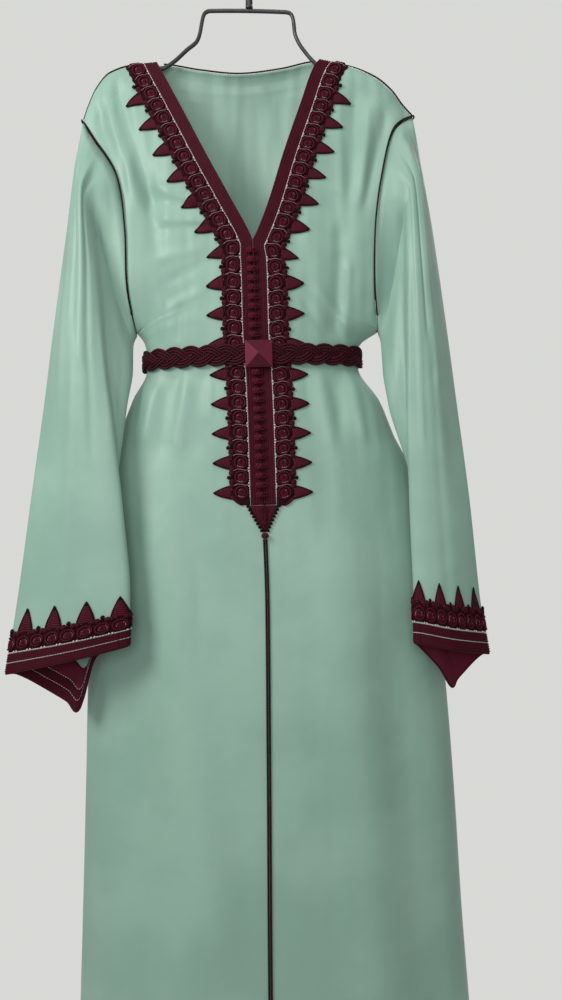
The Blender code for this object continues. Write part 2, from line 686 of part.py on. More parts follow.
# Pointed end of the placket under the last button
tip_rows = (0.0, 0.3, 0.6, 0.85, 1.0)
outer = []
inner = []
for share in tip_rows:
    drop = PLACKET_END + 0.0006 + (PLACKET_TIP - PLACKET_END - 0.004) * share
    half = 0.0205 * (1.0 - share) + 0.0022 * share
    line_out = []
    line_in = []
    for offset in (-half, 0.0, half):
        base = middle_point(drop, WALL / 2 + TRIM_LIFT)
        fall = 0.0002 * (offset / BRAID_WIDTH) ** 2
        line_in.append(base + Vector((offset, fall - 0.0006, 0.0)))
        line_out.append(base + Vector((offset, fall - 0.0006 - TRIM_WALL, 0.0)))
    outer.append(line_out)
    inner.append(line_in)
shell("placket_point", outer, inner, False, "braid")


def knot(name, centre, width, height, depth, colour, segments=8, rings=6):
    """A round knot, flattened from front to back."""
    bm = bmesh.new()
    bmesh.ops.create_uvsphere(bm, u_segments=segments, v_segments=rings, radius=0.5)
    bmesh.ops.scale(bm, vec=(width, depth, height), verts=bm.verts)
    bmesh.ops.translate(bm, vec=centre, verts=bm.verts)
    return link(bm, name, colour)


knot("placket_knot", middle_point(PLACKET_TIP + 0.0045, WALL / 2 + GAP + 0.0045), 0.009, 0.009, 0.008,
     "cord")

# Knot buttons down the middle, left out where the belt hides them
button_out = WALL / 2 + TRIM_LIFT + TRIM_WALL + 0.0006 + BUTTON_DEPTH / 2
number = 1
drop = BUTTON_TOP
while drop < BUTTON_END:
    clear = (BELT_HEIGHT + BUTTON_WIDTH) / 2 + 0.002
    if abs(drop - BELT_DROP) > clear:
        spot = middle_point(drop, button_out) - Vector((BUTTON_SHIFT, 0.0, 0.0))
        knot("button_%02d" % number, spot, BUTTON_WIDTH, 0.0108, BUTTON_DEPTH, "cord", 8, 5)
        number += 1
    drop += BUTTON_PITCH


def tube(name, points, radius, colour, resolution=2):
    """A round cord or wire along the points, with flat closed ends."""
    curve = bpy.data.curves.new(name, "CURVE")
    curve.dimensions = "3D"
    curve.bevel_depth = radius
    curve.bevel_resolution = resolution
    curve.use_fill_caps = True
    spline = curve.splines.new("POLY")
    spline.points.add(len(points) - 1)
    for spot, point in zip(spline.points, points):
        spot.co = (point.x, point.y, point.z, 1.0)
    thing = bpy.data.objects.new(name, curve)
    dress(thing, colour)
    return thing


# Double piping from the placket's knot to the hem
for side, sign in (("left", -1.0), ("right", 1.0)):
    drops = [0.8335, 0.850] + [d for d in BODY["drop"] if d > 0.86]
    points = []
    for drop in drops:
        point = middle_point(min(drop, 1.6440), WALL / 2 + GAP + CORD_RADIUS)
        points.append(point + Vector((sign * (CORD_RADIUS + 0.0002), 0.0, 0.0)))
    tube("front_cord_" + side, points, CORD_RADIUS, "cord")

# Piping on the shoulder seams, around the armholes and on the back of the neck
for side, sign in (("left", -1.0), ("right", 1.0)):
    cloth = CLOTH[side]
    points = []
    for col in [0.15] + [1, 2, 3, 4, 5, 6, 7, 8, 9] + [9.75]:
        point = cloth.at(0.0, float(col), WALL / 2 + 0.0010 + PIPING_RADIUS)
        points.append(Vector((point.x, 0.0, point.z)))
    tube("shoulder_piping_" + side, points, PIPING_RADIUS, "cord", 1)
    points = []
    rows = [11.0, 10.0, 9.0, 8.0, 7.0, 6.0, 5.0, 4.0, 3.0, 2.0, 1.0, 0.0]
    rows += [-row for row in reversed(rows[:-1])]
    for row in rows:
        turn = column(BODY, "row", "armhole", abs(row)) * (1.0 if row >= 0.0 else -1.0)
        spot = around(ARMHOLE[side], turn)
        step = (around(ARMHOLE[side], turn + 0.05) - around(ARMHOLE[side], turn - 0.05)).normalized()
        away = (sleeve_point(side, 0.25, turn % 10) - spot).normalized()
        normal = step.cross(away)
        if normal.dot(spot - Vector((sign * 0.15, 0.0, spot.z - 0.02))) < 0.0:
            normal.negate()
        if row >= 0.0:
            body = cloth.at(abs(row), 10.0, 1.0) - cloth.at(abs(row), 10.0, 0.0)
        else:
            col = 0.0 if side == "left" else float(len(BACK_SHARES) - 1)
            body = CLOTH["back"].at(abs(row), col, 1.0) - CLOTH["back"].at(abs(row), col, 0.0)
        normal = (normal.normalized() + body).normalized()
        points.append(spot + normal * (WALL / 2 + 0.0010 + PIPING_RADIUS))
    tube("armhole_piping_" + side, points, PIPING_RADIUS, "cord", 1)
points = []
for index in range(5, 12):
    for part in (0.0, 0.5):
        col = index + part
        if 5.2 < col < 10.9:
            point = CLOTH["back"].at(0.0, col, 0.0)
            points.append(point + Vector((0.0, 0.0, 0.0010 + PIPING_RADIUS)))
tube("back_neck_piping", points, PIPING_RADIUS, "cord", 1)

# Cuff trims: pointed lace above two rows of braid outside, a facing inside
CUFF_LEAVES = 9
for side in ("left", "right"):
    cloth = CLOTH["sleeve_" + side]
    braid = [[(14.06, turn), (14.97, turn)] for turn in range(20)]
    strip("cuff_braid_" + side, cloth, braid, "braid", True)
    fine = [index * 0.1 for index in range(201)]
    track = [0.0]
    for index in range(1, 201):
        step = cloth.at(13.0, fine[index], 0.0) - cloth.at(13.0, fine[index - 1], 0.0)
        track.append(track[-1] + step.length)
    start = smooth(fine, track, 5.6)
    pitch = track[-1] / CUFF_LEAVES
    turns = [float(index) for index in range(20)]
    for number in range(CUFF_LEAVES):
        for phase in (0.0, 0.20, 0.50, 0.80):
            spot = (start + (number + phase) * pitch) % track[-1]
            turn = smooth(track, fine, spot)
            if min(abs(turn - other) for other in turns + [20.0]) > 0.08:
                turns.append(turn)
    stations = []
    for turn in sorted(turns):
        phase = (smooth(fine, track, turn) - start) / pitch
        stations.append([(13.98, turn), (13.0, turn), (13.0 - leaf_height(phase), turn)])
    strip("cuff_lace_" + side, cloth, stations, "lace", True)
    facing = [[(13.0, turn), (14.0, turn), (14.97, turn)] for turn in range(20)]
    strip("cuff_facing_" + side, cloth, facing, "satin", True, TRIM_LIFT, True)

# Braided belt, a closed band with its plait raised on the outside
ring = []
for col in range(11):
    ring.append(CLOTH["left"].at(16.5, float(col), WALL / 2))
for col in range(1, 17):
    ring.append(CLOTH["back"].at(16.5, float(col), WALL / 2))
for col in range(10, -1, -1):
    ring.append(CLOTH["right"].at(16.5, float(col), WALL / 2))
lengths = [0.0]
for index in range(len(ring)):
    lengths.append(lengths[-1] + (ring[(index + 1) % len(ring)] - ring[index]).xy.length)
lobes = int(round(lengths[-1] / BELT_LOBE))
per_lobe = 3
stations = lobes * per_lobe
outer = []
inner = []
BELT_PROFILE = table(("height", "out"), [
    (0.50, 0.0026), (0.26, 0.0046), (0.00, 0.0034), (-0.26, 0.0046), (-0.50, 0.0026)])


def ring_point(share):
    """Point and outward direction on the body's outline at the belt."""
    goal = (share % 1.0) * lengths[-1]
    index = 0
    while lengths[index + 1] < goal:
        index += 1
    here = ring[index]
    there = ring[(index + 1) % len(ring)]
    point = here.lerp(there, (goal - lengths[index]) / (lengths[index + 1] - lengths[index]))
    return Vector((point.x, point.y, 0.0))


for station in range(stations):
    share = station / stations
    point = ring_point(share)
    run = ring_point(share + 0.008) - ring_point(share - 0.008)
    normal = Vector((run.y, -run.x, 0.0)).normalized()
    if normal.dot(point) < 0.0:
        normal.negate()
    wave = math.cos(2.0 * math.pi * station / per_lobe)
    line_out = []
    for height, out in zip(BELT_PROFILE["height"], BELT_PROFILE["out"]):
        sway = 0.0011 * wave * (1.0 if height > 0.0 else -1.0)
        spot = point + normal * (BELT_LIFT + out + sway * (abs(height) < 0.4) * abs(height) * 3.0)
        edge = 0.0012 * wave * (abs(height) > 0.4)
        spot.z = -BELT_DROP + height * BELT_HEIGHT + edge
        line_out.append(spot)
    line_in = []
    for height in BELT_PROFILE["height"]:
        spot = point + normal * BELT_LIFT
        edge = 0.0012 * wave * (abs(height) > 0.4)
        spot.z = -BELT_DROP + height * BELT_HEIGHT * 0.98 + edge
        line_in.append(spot)
    outer.append(line_out)
    inner.append(line_in)
outer = [list(line) for line in zip(*outer)]
inner = [list(line) for line in zip(*inner)]
shell("belt", outer, inner, True, "cord")

# Square pointed buckle over the belt and the placket
bm = bmesh.new()
bmesh.ops.create_cone(bm, cap_ends=True, segments=4, radius1=BUCKLE_SIDE / math.sqrt(2.0),
                      radius2=0.0016, depth=BUCKLE_DEPTH)
bmesh.ops.rotate(bm, cent=(0, 0, 0), matrix=Matrix.Rotation(math.pi / 4, 3, "Z"),
                 verts=bm.verts)
bmesh.ops.rotate(bm, cent=(0, 0, 0), matrix=Matrix.Rotation(math.pi / 2, 3, "X"),
                 verts=bm.verts)
base = middle_point(BELT_DROP, WALL / 2 + BELT_LIFT + 0.0046 + 0.0012 + 0.0006 + BUCKLE_DEPTH / 2)
bmesh.ops.translate(bm, vec=(0.0045, base.y, -BELT_DROP), verts=bm.verts)
link(bm, "buckle", "satin")

# Wire hanger: one bent rod whose arms run under the shoulders, and the hook in its bar
HANGER = table(("x", "drop"), [
    (-0.0883, 0.1484), (-0.0740, 0.1365), (-0.0695, 0.1250), (-0.0660, 0.1080), (-0.0630, 0.0985),
    (-0.0560, 0.0945), (0.0530, 0.0985), (0.0590, 0.1020), (0.0615, 0.1100), (0.0632, 0.1280),
    (0.0680, 0.1410), (0.0780, 0.1560)])
points = []
for across in (0.1870, 0.1800, 0.1686, 0.1500, 0.1300):
    points.append(place(-across, column(SHOULDER["left"], "across", "drop", across) + 0.0078, 0.0))
points.append(place(-0.1190, 0.1728, -0.0010))
points.append(place(-0.1054, 0.1635, 0.0))
for x, drop in zip(HANGER["x"], HANGER["drop"]):
    points.append(place(x, drop, 0.0))
points.append(place(0.0900, 0.1705, -0.0010))
for across in (0.1010, 0.1200, 0.1393, 0.1540, 0.1650):
    points.append(place(across, column(SHOULDER["right"], "across", "drop", across) + 0.0080, 0.0))
tube("hanger_frame", points, WIRE_RADIUS, "metal")
BAR_DROP = 0.0965
POST_HEIGHT = 0.0290
bm = bmesh.new()
bmesh.ops.create_cone(bm, cap_ends=True, segments=12, radius1=POST_RADIUS, radius2=POST_RADIUS,
                      depth=POST_HEIGHT)
post_base = -BAR_DROP + WIRE_RADIUS + GAP + 0.0003
bmesh.ops.translate(bm, vec=(0.0, 0.0, post_base + POST_HEIGHT / 2), verts=bm.verts)
link(bm, "hanger_post", "metal")
HOOK_RADIUS = 0.0230
bow = HOOK_RADIUS + WIRE_RADIUS
points = [Vector((0.0, 0.0, post_base + POST_HEIGHT + GAP)), Vector((0.0, 0.0, -0.0575))]
for degrees in range(-60, 181, 20):
    angle = math.radians(degrees)
    points.append(Vector((bow * math.cos(angle), 0.0, bow * math.sin(angle) - HOOK_RADIUS)))
tube("hanger_hook", points, WIRE_RADIUS, "metal")
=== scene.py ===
"""The looks of a long satin-crepe kaftan on a wire hanger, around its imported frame.

Metres, Z up, the garment's front towards -Y, the origin inside the bend of the hanger's hook.
"""
import math

import bpy
import numpy as np
from mathutils import Matrix, Vector


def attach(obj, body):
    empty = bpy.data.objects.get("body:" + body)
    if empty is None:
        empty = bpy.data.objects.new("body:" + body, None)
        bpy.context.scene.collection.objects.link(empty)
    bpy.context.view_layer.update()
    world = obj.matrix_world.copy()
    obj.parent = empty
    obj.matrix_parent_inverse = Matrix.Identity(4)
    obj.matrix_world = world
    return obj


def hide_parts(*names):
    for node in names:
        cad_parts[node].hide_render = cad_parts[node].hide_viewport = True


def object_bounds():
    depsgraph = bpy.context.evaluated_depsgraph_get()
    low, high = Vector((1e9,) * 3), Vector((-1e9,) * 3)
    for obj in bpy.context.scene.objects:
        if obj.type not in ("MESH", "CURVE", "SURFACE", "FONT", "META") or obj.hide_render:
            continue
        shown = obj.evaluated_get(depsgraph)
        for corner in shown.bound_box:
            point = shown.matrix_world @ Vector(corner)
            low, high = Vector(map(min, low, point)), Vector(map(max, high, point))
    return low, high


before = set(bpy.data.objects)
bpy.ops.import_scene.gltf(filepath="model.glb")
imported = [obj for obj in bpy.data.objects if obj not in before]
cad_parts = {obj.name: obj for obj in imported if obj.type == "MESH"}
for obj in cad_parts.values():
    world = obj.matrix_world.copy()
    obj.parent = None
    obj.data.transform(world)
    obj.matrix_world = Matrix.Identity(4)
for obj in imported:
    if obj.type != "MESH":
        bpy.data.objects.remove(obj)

frame_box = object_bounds()
scene = bpy.context.scene

# The camera stands a little above the waist, close to the garment and rolled slightly, as the
# photograph was taken by hand.
CAMERA_PLACE = (0.0301, -1.2000, -0.7810)
CAMERA_ROLL = math.radians(-1.2)
PICTURE_HEIGHT_AT_HANGER = 1.400

camera = bpy.data.objects.new("camera", bpy.data.cameras.new("camera"))
scene.collection.objects.link(camera)
scene.camera = camera
camera.data.sensor_fit = "VERTICAL"
camera.data.sensor_height = 36.0
camera.data.lens = 36.0 * -CAMERA_PLACE[1] / PICTURE_HEIGHT_AT_HANGER
camera.data.clip_start = 0.01
camera.matrix_world = (Matrix.Translation(CAMERA_PLACE) @ Matrix.Rotation(math.radians(90.0), 4, "X")
                       @ Matrix.Rotation(CAMERA_ROLL, 4, "Z"))


# Soft studio light: a pale room, one large lamp in front on the left, a weaker one beside the
# camera, one from above that reaches into the neck, and one behind for the back.
ROOM_COLOUR = (0.668, 0.675, 0.650, 1.0)
ROOM_AS_LIGHT = 0.50
ROOM_AS_SEEN = 1.03


def lamp(name, place, aim, size, power, tint):
    """A square soft lamp at a place, aimed at a point."""
    light = bpy.data.lights.new(name, "AREA")
    light.shape = "SQUARE"
    light.size = size
    light.energy = power
    light.color = tint
    stand = bpy.data.objects.new(name, light)
    scene.collection.objects.link(stand)
    stand.location = place
    stand.rotation_euler = (Vector(aim) - Vector(place)).to_track_quat("-Z", "Y").to_euler()


lamp("key_lamp", (-1.35, -1.25, 0.30), (-0.1, 0.0, -0.40), 0.8, 25.0, (1.0, 0.985, 0.955))
lamp("fill_lamp", (-0.15, -2.20, -0.40), (0.0, 0.0, -0.45), 0.8, 11.0, (0.95, 0.98, 1.0))
lamp("top_lamp", (0.15, -0.95, 1.15), (0.0, 0.05, -0.25), 0.9, 8.0, (1.0, 0.995, 0.97))
lamp("back_lamp", (0.5, 1.3, 0.9), (0.0, 0.0, -0.6), 1.4, 16.0, (1.0, 1.0, 1.0))

room = bpy.data.worlds.new("pale_room")
scene.world = room
room.use_nodes = True
backdrop = room.node_tree.nodes["Background"]
backdrop.inputs["Color"].default_value = ROOM_COLOUR
straight_seen = room.node_tree.nodes.new("ShaderNodeLightPath").outputs["Is Camera Ray"]
brightness = room.node_tree.nodes.new("ShaderNodeMapRange")
brightness.inputs["To Min"].default_value = ROOM_AS_LIGHT
brightness.inputs["To Max"].default_value = ROOM_AS_SEEN
room.node_tree.links.new(straight_seen, brightness.inputs["Value"])
room.node_tree.links.new(brightness.outputs["Result"], backdrop.inputs["Strength"])
scene.view_settings.view_transform = "Standard"
scene.view_settings.look = "None"


# Floor: a plain pale painted board just below the hem, with a light grain. The garment hangs
# clear of it from its hook, so the board is stage and carries nothing.
FLOOR_SIZE = 0.64
FLOOR_GAP = 0.012
FLOOR_DROP = -frame_box[0][2] + FLOOR_GAP
FLOOR_DULL = (0.86, 0.865, 0.84, 1.0)
FLOOR_BRIGHT = (0.90, 0.905, 0.88, 1.0)


class Amount:
    """A shader value: sums written with it become Math nodes in its dye's tree."""

    def __init__(self, dye, socket):
        self.dye = dye
        self.socket = socket

    def _math(self, operation, *values):
        return self.dye.node("Math", {"operation": operation}, dict(enumerate(values)))

    def __add__(self, other):
        return self._math("ADD", self, other)

    def __sub__(self, other):
        return self._math("SUBTRACT", self, other)

    def __rsub__(self, other):
        return self._math("SUBTRACT", other, self)

    def __mul__(self, other):
        return self._math("MULTIPLY", self, other)

    def __gt__(self, other):
        return self._math("GREATER_THAN", self, other)

    __radd__ = __add__
    __rmul__ = __mul__

    def wave(self):
        """Sine of this value, from -1 to 1."""
        return self._math("SINE", self)

    def part(self):
        """What is left past the last whole number."""
        return self._math("FRACT", self)

    def over(self, low, high):
        """0 below low, 1 above high, smooth between them."""
        return self.dye.node("MapRange", {"interpolation_type": "SMOOTHSTEP"},
                             {"Value": self, "From Min": low, "From Max": high})


class Dye:
    """One material: its Principled shader and the nodes that vary it."""

    def __init__(self, name, **constants):
        self.material = bpy.data.materials.new(name)
        self.material.use_nodes = True
        self.tree = self.material.node_tree
        self.shader = self.tree.nodes["Principled BSDF"]
        for socket, value in constants.items():
            self.shader.inputs[self.named(socket)].default_value = value

    def named(self, socket):
        """The shader's own name of a socket."""
        return socket.replace("_", " ").title().replace("Ior", "IOR")

    def node(self, kind, settings=None, sockets=None, output=0):
        """Adds a node: its settings first, then its sockets' values or links."""
        made = self.tree.nodes.new("ShaderNode" + kind)
        for name, value in (settings or {}).items():
            setattr(made, name, value)
        for name, value in (sockets or {}).items():
            self.feed(made.inputs[name], value)
        return Amount(self, made.outputs[output])

    def feed(self, socket, value):
        """Links a socket to a value made by nodes, or sets it to a number or colour."""
        if isinstance(value, Amount):
            self.tree.links.new(value.socket, socket)
        else:
            socket.default_value = value

    def blend(self, share, first, second):
        """A colour between two colours."""
        return self.node("Mix", {"data_type": "RGBA"}, {0: share, 6: first, 7: second}, 2)

    def noise(self, scale, detail=3.0, rough=0.5, place=None):
        """Cloudy noise on the piece, read at its own place in metres unless told otherwise."""
        place = place or self.node("TexCoord", output=3)
        return self.node("TexNoise", {}, {"Vector": place, "Scale": scale, "Detail": detail,
                                          "Roughness": rough})

    def threads(self):
        """The piece's own UV map as two values: across or round, and along."""
        split = self.node("SeparateXYZ", {}, {0: self.node("UVMap", {"uv_map": "threads"})})
        return split, Amount(self, split.socket.node.outputs[1])

    def relief(self, height, distance, strength=1.0, under=None):
        """A bump of that height in metres, over another one where there is one."""
        sockets = {"Height": height, "Distance": distance, "Strength": strength}
        if under is not None:
            sockets["Normal"] = under
        return self.node("Bump", {}, sockets)

    def finish(self, **varied):
        """Feeds the shader's varied sockets and returns the material."""
        for name, value in varied.items():
            self.feed(self.shader.inputs[self.named(name)], value)
        return self.material


floor_mesh = bpy.data.meshes.new("floor")
half_floor = FLOOR_SIZE / 2
floor_mesh.from_pydata([(-half_floor, -half_floor, -FLOOR_DROP), (half_floor, -half_floor, -FLOOR_DROP),
                        (half_floor, half_floor, -FLOOR_DROP), (-half_floor, half_floor, -FLOOR_DROP)],
                       [], [(0, 1, 2, 3)])
floor = bpy.data.objects.new("floor", floor_mesh)
scene.collection.objects.link(floor)
floor_dye = Dye("pale_floor", roughness=0.7)
floor_grain = floor_dye.noise(6.0, 6.0)
floor_mesh.materials.append(floor_dye.finish(
    base_color=floor_dye.blend(floor_grain, FLOOR_DULL, FLOOR_BRIGHT)))


# Fronts and back: the body is cut from mint satin crepe as two fronts that meet on the middle
# line and one back. They hang from the shoulders, nipped in by the belt, and fall free below it.
CREPE_LIT = (0.284, 0.452, 0.370, 1.0)
CREPE_DEEP = (0.240, 0.399, 0.325, 1.0)
CREPE_FIBRE = (0.44, 0.60, 0.52, 1.0)
CREPE_TWILL = 5200.0
WALL = 0.0020
SHELL = 0.0009
SEAM_GAP = 0.0003
BRAID_WIDTH = 0.0170
LACE_WIDTH = 0.0270
LEAF_LENGTH = 0.0215
TRIM_REACH = BRAID_WIDTH + LACE_WIDTH + LEAF_LENGTH
BELT_DROP = 0.5855
NECK_POINT_DROP = 0.430
NEAR_WIDTHS = np.linspace(0.0, TRIM_REACH, 23)
FAR_COLUMNS = 34
FINE_STEP = 0.0055
SKIRT_STEP = 0.0125


def table(names, rows):
    """A table as one array of numbers for each named column."""
    return {name: np.array([row[index] for row in rows], float) for index, name in enumerate(names)}


def smooth(xs, ys, x):
    """Values at x of a smooth curve through the points, without overshoot."""
    xs, ys = np.asarray(xs, float), np.asarray(ys, float)
    x = np.clip(np.asarray(x, float), xs[0], xs[-1])
    rise = np.diff(ys) / np.diff(xs)
    turn = rise[:-1] * rise[1:]
    inner = np.where(turn > 0.0, 2.0 * turn / np.where(turn > 0.0, rise[:-1] + rise[1:], 1.0), 0.0)
    slopes = np.concatenate(([rise[0]], inner, [rise[-1]]))
    index = np.clip(np.searchsorted(xs, x, side="right") - 1, 0, len(xs) - 2)
    span = xs[index + 1] - xs[index]
    t = (x - xs[index]) / span
    return ((2 * t ** 3 - 3 * t ** 2 + 1) * ys[index] + (t ** 3 - 2 * t ** 2 + t) * slopes[index] * span
            + (3 * t ** 2 - 2 * t ** 3) * ys[index + 1] + (t ** 3 - t ** 2) * slopes[index + 1] * span)


def around(points, u):
    """Points at u on a closed smooth curve through the guide points."""
    count = len(points)
    base = np.floor(u).astype(int)
    t = (u - base)[..., None]
    p0, p1, p2, p3 = (points[(base + step) % count] for step in (-1, 0, 1, 2))
    return 0.5 * (2 * p1 + (p2 - p0) * t + (2 * p0 - 5 * p1 + 4 * p2 - p3) * t ** 2
                  + (3 * p1 - p0 - 3 * p2 + p3) * t ** 3)


def bell(distance, width):
    """A soft bump, one at the middle and nothing two widths away."""
    return np.exp(-1.4 * (distance / width) ** 2)


MIDDLE = table(("drop", "x"), [
    (0.430, -0.0010), (0.480, 0.0006), (0.550, 0.0010), (0.620, 0.0042), (0.700, 0.0060),
    (0.800, 0.0070), (0.823, 0.0080), (0.907, 0.0095), (1.110, 0.0075), (1.420, 0.0035),
    (1.645, 0.0020)])
NECK = {
    "left": table(("drop", "x"), [
        (0.1686, -0.1300), (0.1800, -0.1245), (0.2390, -0.0955), (0.3080, -0.0620),
        (0.3736, -0.0285), (0.4231, -0.0035), (0.4300, -0.0012)]),
    "right": table(("drop", "x"), [
        (0.1700, 0.0960), (0.1831, 0.0872), (0.2383, 0.0677), (0.3102, 0.0427),
        (0.3788, 0.0209), (0.4231, 0.0030), (0.4300, -0.0008)]),
}
SHOULDER = {
    "left": table(("across", "drop"), [
        (0.1300, 0.1686), (0.1686, 0.1719), (0.1968, 0.1811), (0.2154, 0.2017),
        (0.2286, 0.2295), (0.2346, 0.2461)]),
    "right": table(("across", "drop"), [
        (0.0960, 0.1700), (0.1393, 0.1795), (0.1740, 0.1945), (0.1974, 0.2146),
        (0.2110, 0.2340), (0.2247, 0.2500)]),
}
BACK_NECK = table(("x", "drop"), [
    (-0.1300, 0.1686), (-0.1200, 0.1672), (-0.0717, 0.1735), (-0.0153, 0.1790),
    (0.0414, 0.1745), (0.0870, 0.1680), (0.0960, 0.1700)])
ARMHOLE = {
    "left": table(("x", "drop", "y"), [
        (-0.2346, 0.2461, 0.0000), (-0.2180, 0.2760, -0.0130), (-0.1850, 0.3340, -0.0290),
        (-0.1735, 0.4100, -0.0350), (-0.1715, 0.4850, -0.0320), (-0.1650, 0.5440, -0.0010),
        (-0.1730, 0.4720, 0.0300), (-0.1765, 0.3850, 0.0340), (-0.1900, 0.3180, 0.0270),
        (-0.2180, 0.2740, 0.0130)]),
    "right": table(("x", "drop", "y"), [
        (0.2247, 0.2500, 0.0000), (0.1960, 0.2720, -0.0130), (0.1760, 0.3444, -0.0300),
        (0.1650, 0.4150, -0.0350), (0.1620, 0.4950, -0.0320), (0.1700, 0.5480, -0.0010),
        (0.1680, 0.4750, 0.0300), (0.1700, 0.3900, 0.0340), (0.1830, 0.3180, 0.0270),
        (0.2040, 0.2700, 0.0130)]),
}
ARMHOLE_POINTS = {side: np.stack((guide["x"], guide["y"], -guide["drop"]), -1)
                  for side, guide in ARMHOLE.items()}
SIDE_SEAM = {
    "left": table(("drop", "across"), [
        (0.5440, 0.1650), (0.5600, 0.1545), (0.5750, 0.1520), (0.5980, 0.1525),
        (0.6367, 0.1725), (0.6923, 0.1935), (0.7759, 0.2120), (0.8876, 0.2298),
        (0.9980, 0.2419), (1.1547, 0.2485), (1.2890, 0.2543), (1.4750, 0.2631),
        (1.6400, 0.2710)]),
    "right": table(("drop", "across"), [
        (0.5480, 0.1700), (0.5640, 0.1460), (0.5750, 0.1400), (0.5980, 0.1405),
        (0.6467, 0.1701), (0.6975, 0.1901), (0.7301, 0.2060), (0.8131, 0.2241),
        (0.8974, 0.2391), (1.0307, 0.2531), (1.2102, 0.2634), (1.3447, 0.2689),
        (1.4863, 0.2772), (1.6400, 0.2860)]),
}
BODY = table(("row", "drop", "armhole", "side", "front", "back", "round", "bend"), [
    (0, 0.1690, 0.00, 0.0000, -0.00015, 0.00015, 0.0, 1.00),
    (1, 0.1698, 0.26, 0.0000, -0.0052, 0.0054, 0.0, 1.00),
    (2, 0.1745, 0.52, 0.0000, -0.0094, 0.0100, 0.0, 0.98),
    (3, 0.1860, 0.80, 0.0000, -0.0132, 0.0155, 0.0, 0.90),
    (4, 0.2080, 1.15, 0.0000, -0.0180, 0.0220, 0.0, 0.76),
    (5, 0.2360, 1.55, 0.0000, -0.0240, 0.0280, 0.0, 0.57),
    (6, 0.2670, 2.00, 0.0000, -0.0300, 0.0340, 0.0, 0.38),
    (7, 0.3000, 2.45, 0.0000, -0.0350, 0.0380, 0.0, 0.22),
    (8, 0.3350, 2.90, 0.0000, -0.0395, 0.0410, 0.0, 0.10),
    (9, 0.3680, 3.35, 0.0000, -0.0430, 0.0430, 0.1, 0.04),
    (10, 0.4000, 3.80, 0.0000, -0.0455, 0.0450, 0.2, 0.01),
    (11, 0.4300, 4.25, 0.0000, -0.0470, 0.0460, 0.4, 0.00),
    (12, 0.4560, 4.68, 0.0000, -0.0480, 0.0470, 0.7, 0.00),
    (13, 0.4850, 5.00, 0.5440, -0.0490, 0.0480, 1.0, 0.00),
    (14, 0.5180, 5.00, 0.5540, -0.0500, 0.0490, 1.0, 0.00),
    (15, 0.5450, 5.00, 0.5640, -0.0500, 0.0495, 1.0, 0.00),
    (16, 0.5660, 5.00, 0.5700, -0.0500, 0.0500, 1.0, 0.00),
    (17, 0.6050, 5.00, 0.6050, -0.0500, 0.0500, 1.0, 0.00),
    (18, 0.6350, 5.00, 0.6330, -0.0540, 0.0550, 1.0, 0.00),
    (19, 0.6800, 5.00, 0.6780, -0.0590, 0.0600, 1.0, 0.00),
    (20, 0.7320, 5.00, 0.7300, -0.0625, 0.0640, 1.0, 0.00),
    (21, 0.7870, 5.00, 0.7850, -0.0655, 0.0670, 1.0, 0.00),
    (22, 0.8500, 5.00, 0.8470, -0.0690, 0.0700, 1.0, 0.00),
    (23, 0.9250, 5.00, 0.9210, -0.0740, 0.0750, 1.0, 0.00),
    (24, 1.0100, 5.00, 1.0050, -0.0800, 0.0800, 1.0, 0.00),
    (25, 1.1000, 5.00, 1.0950, -0.0860, 0.0840, 1.0, 0.00),
    (26, 1.2000, 5.00, 1.1950, -0.0920, 0.0880, 1.0, 0.00),
    (27, 1.3100, 5.00, 1.3050, -0.0980, 0.0920, 1.0, 0.00),
    (28, 1.4200, 5.00, 1.4150, -0.1030, 0.0960, 1.0, 0.00),
    (29, 1.5300, 5.00, 1.5250, -0.1080, 0.0990, 1.0, 0.00),
    (30, 1.6450, 5.00, 1.6400, -0.1120, 0.1020, 1.0, 0.00)])

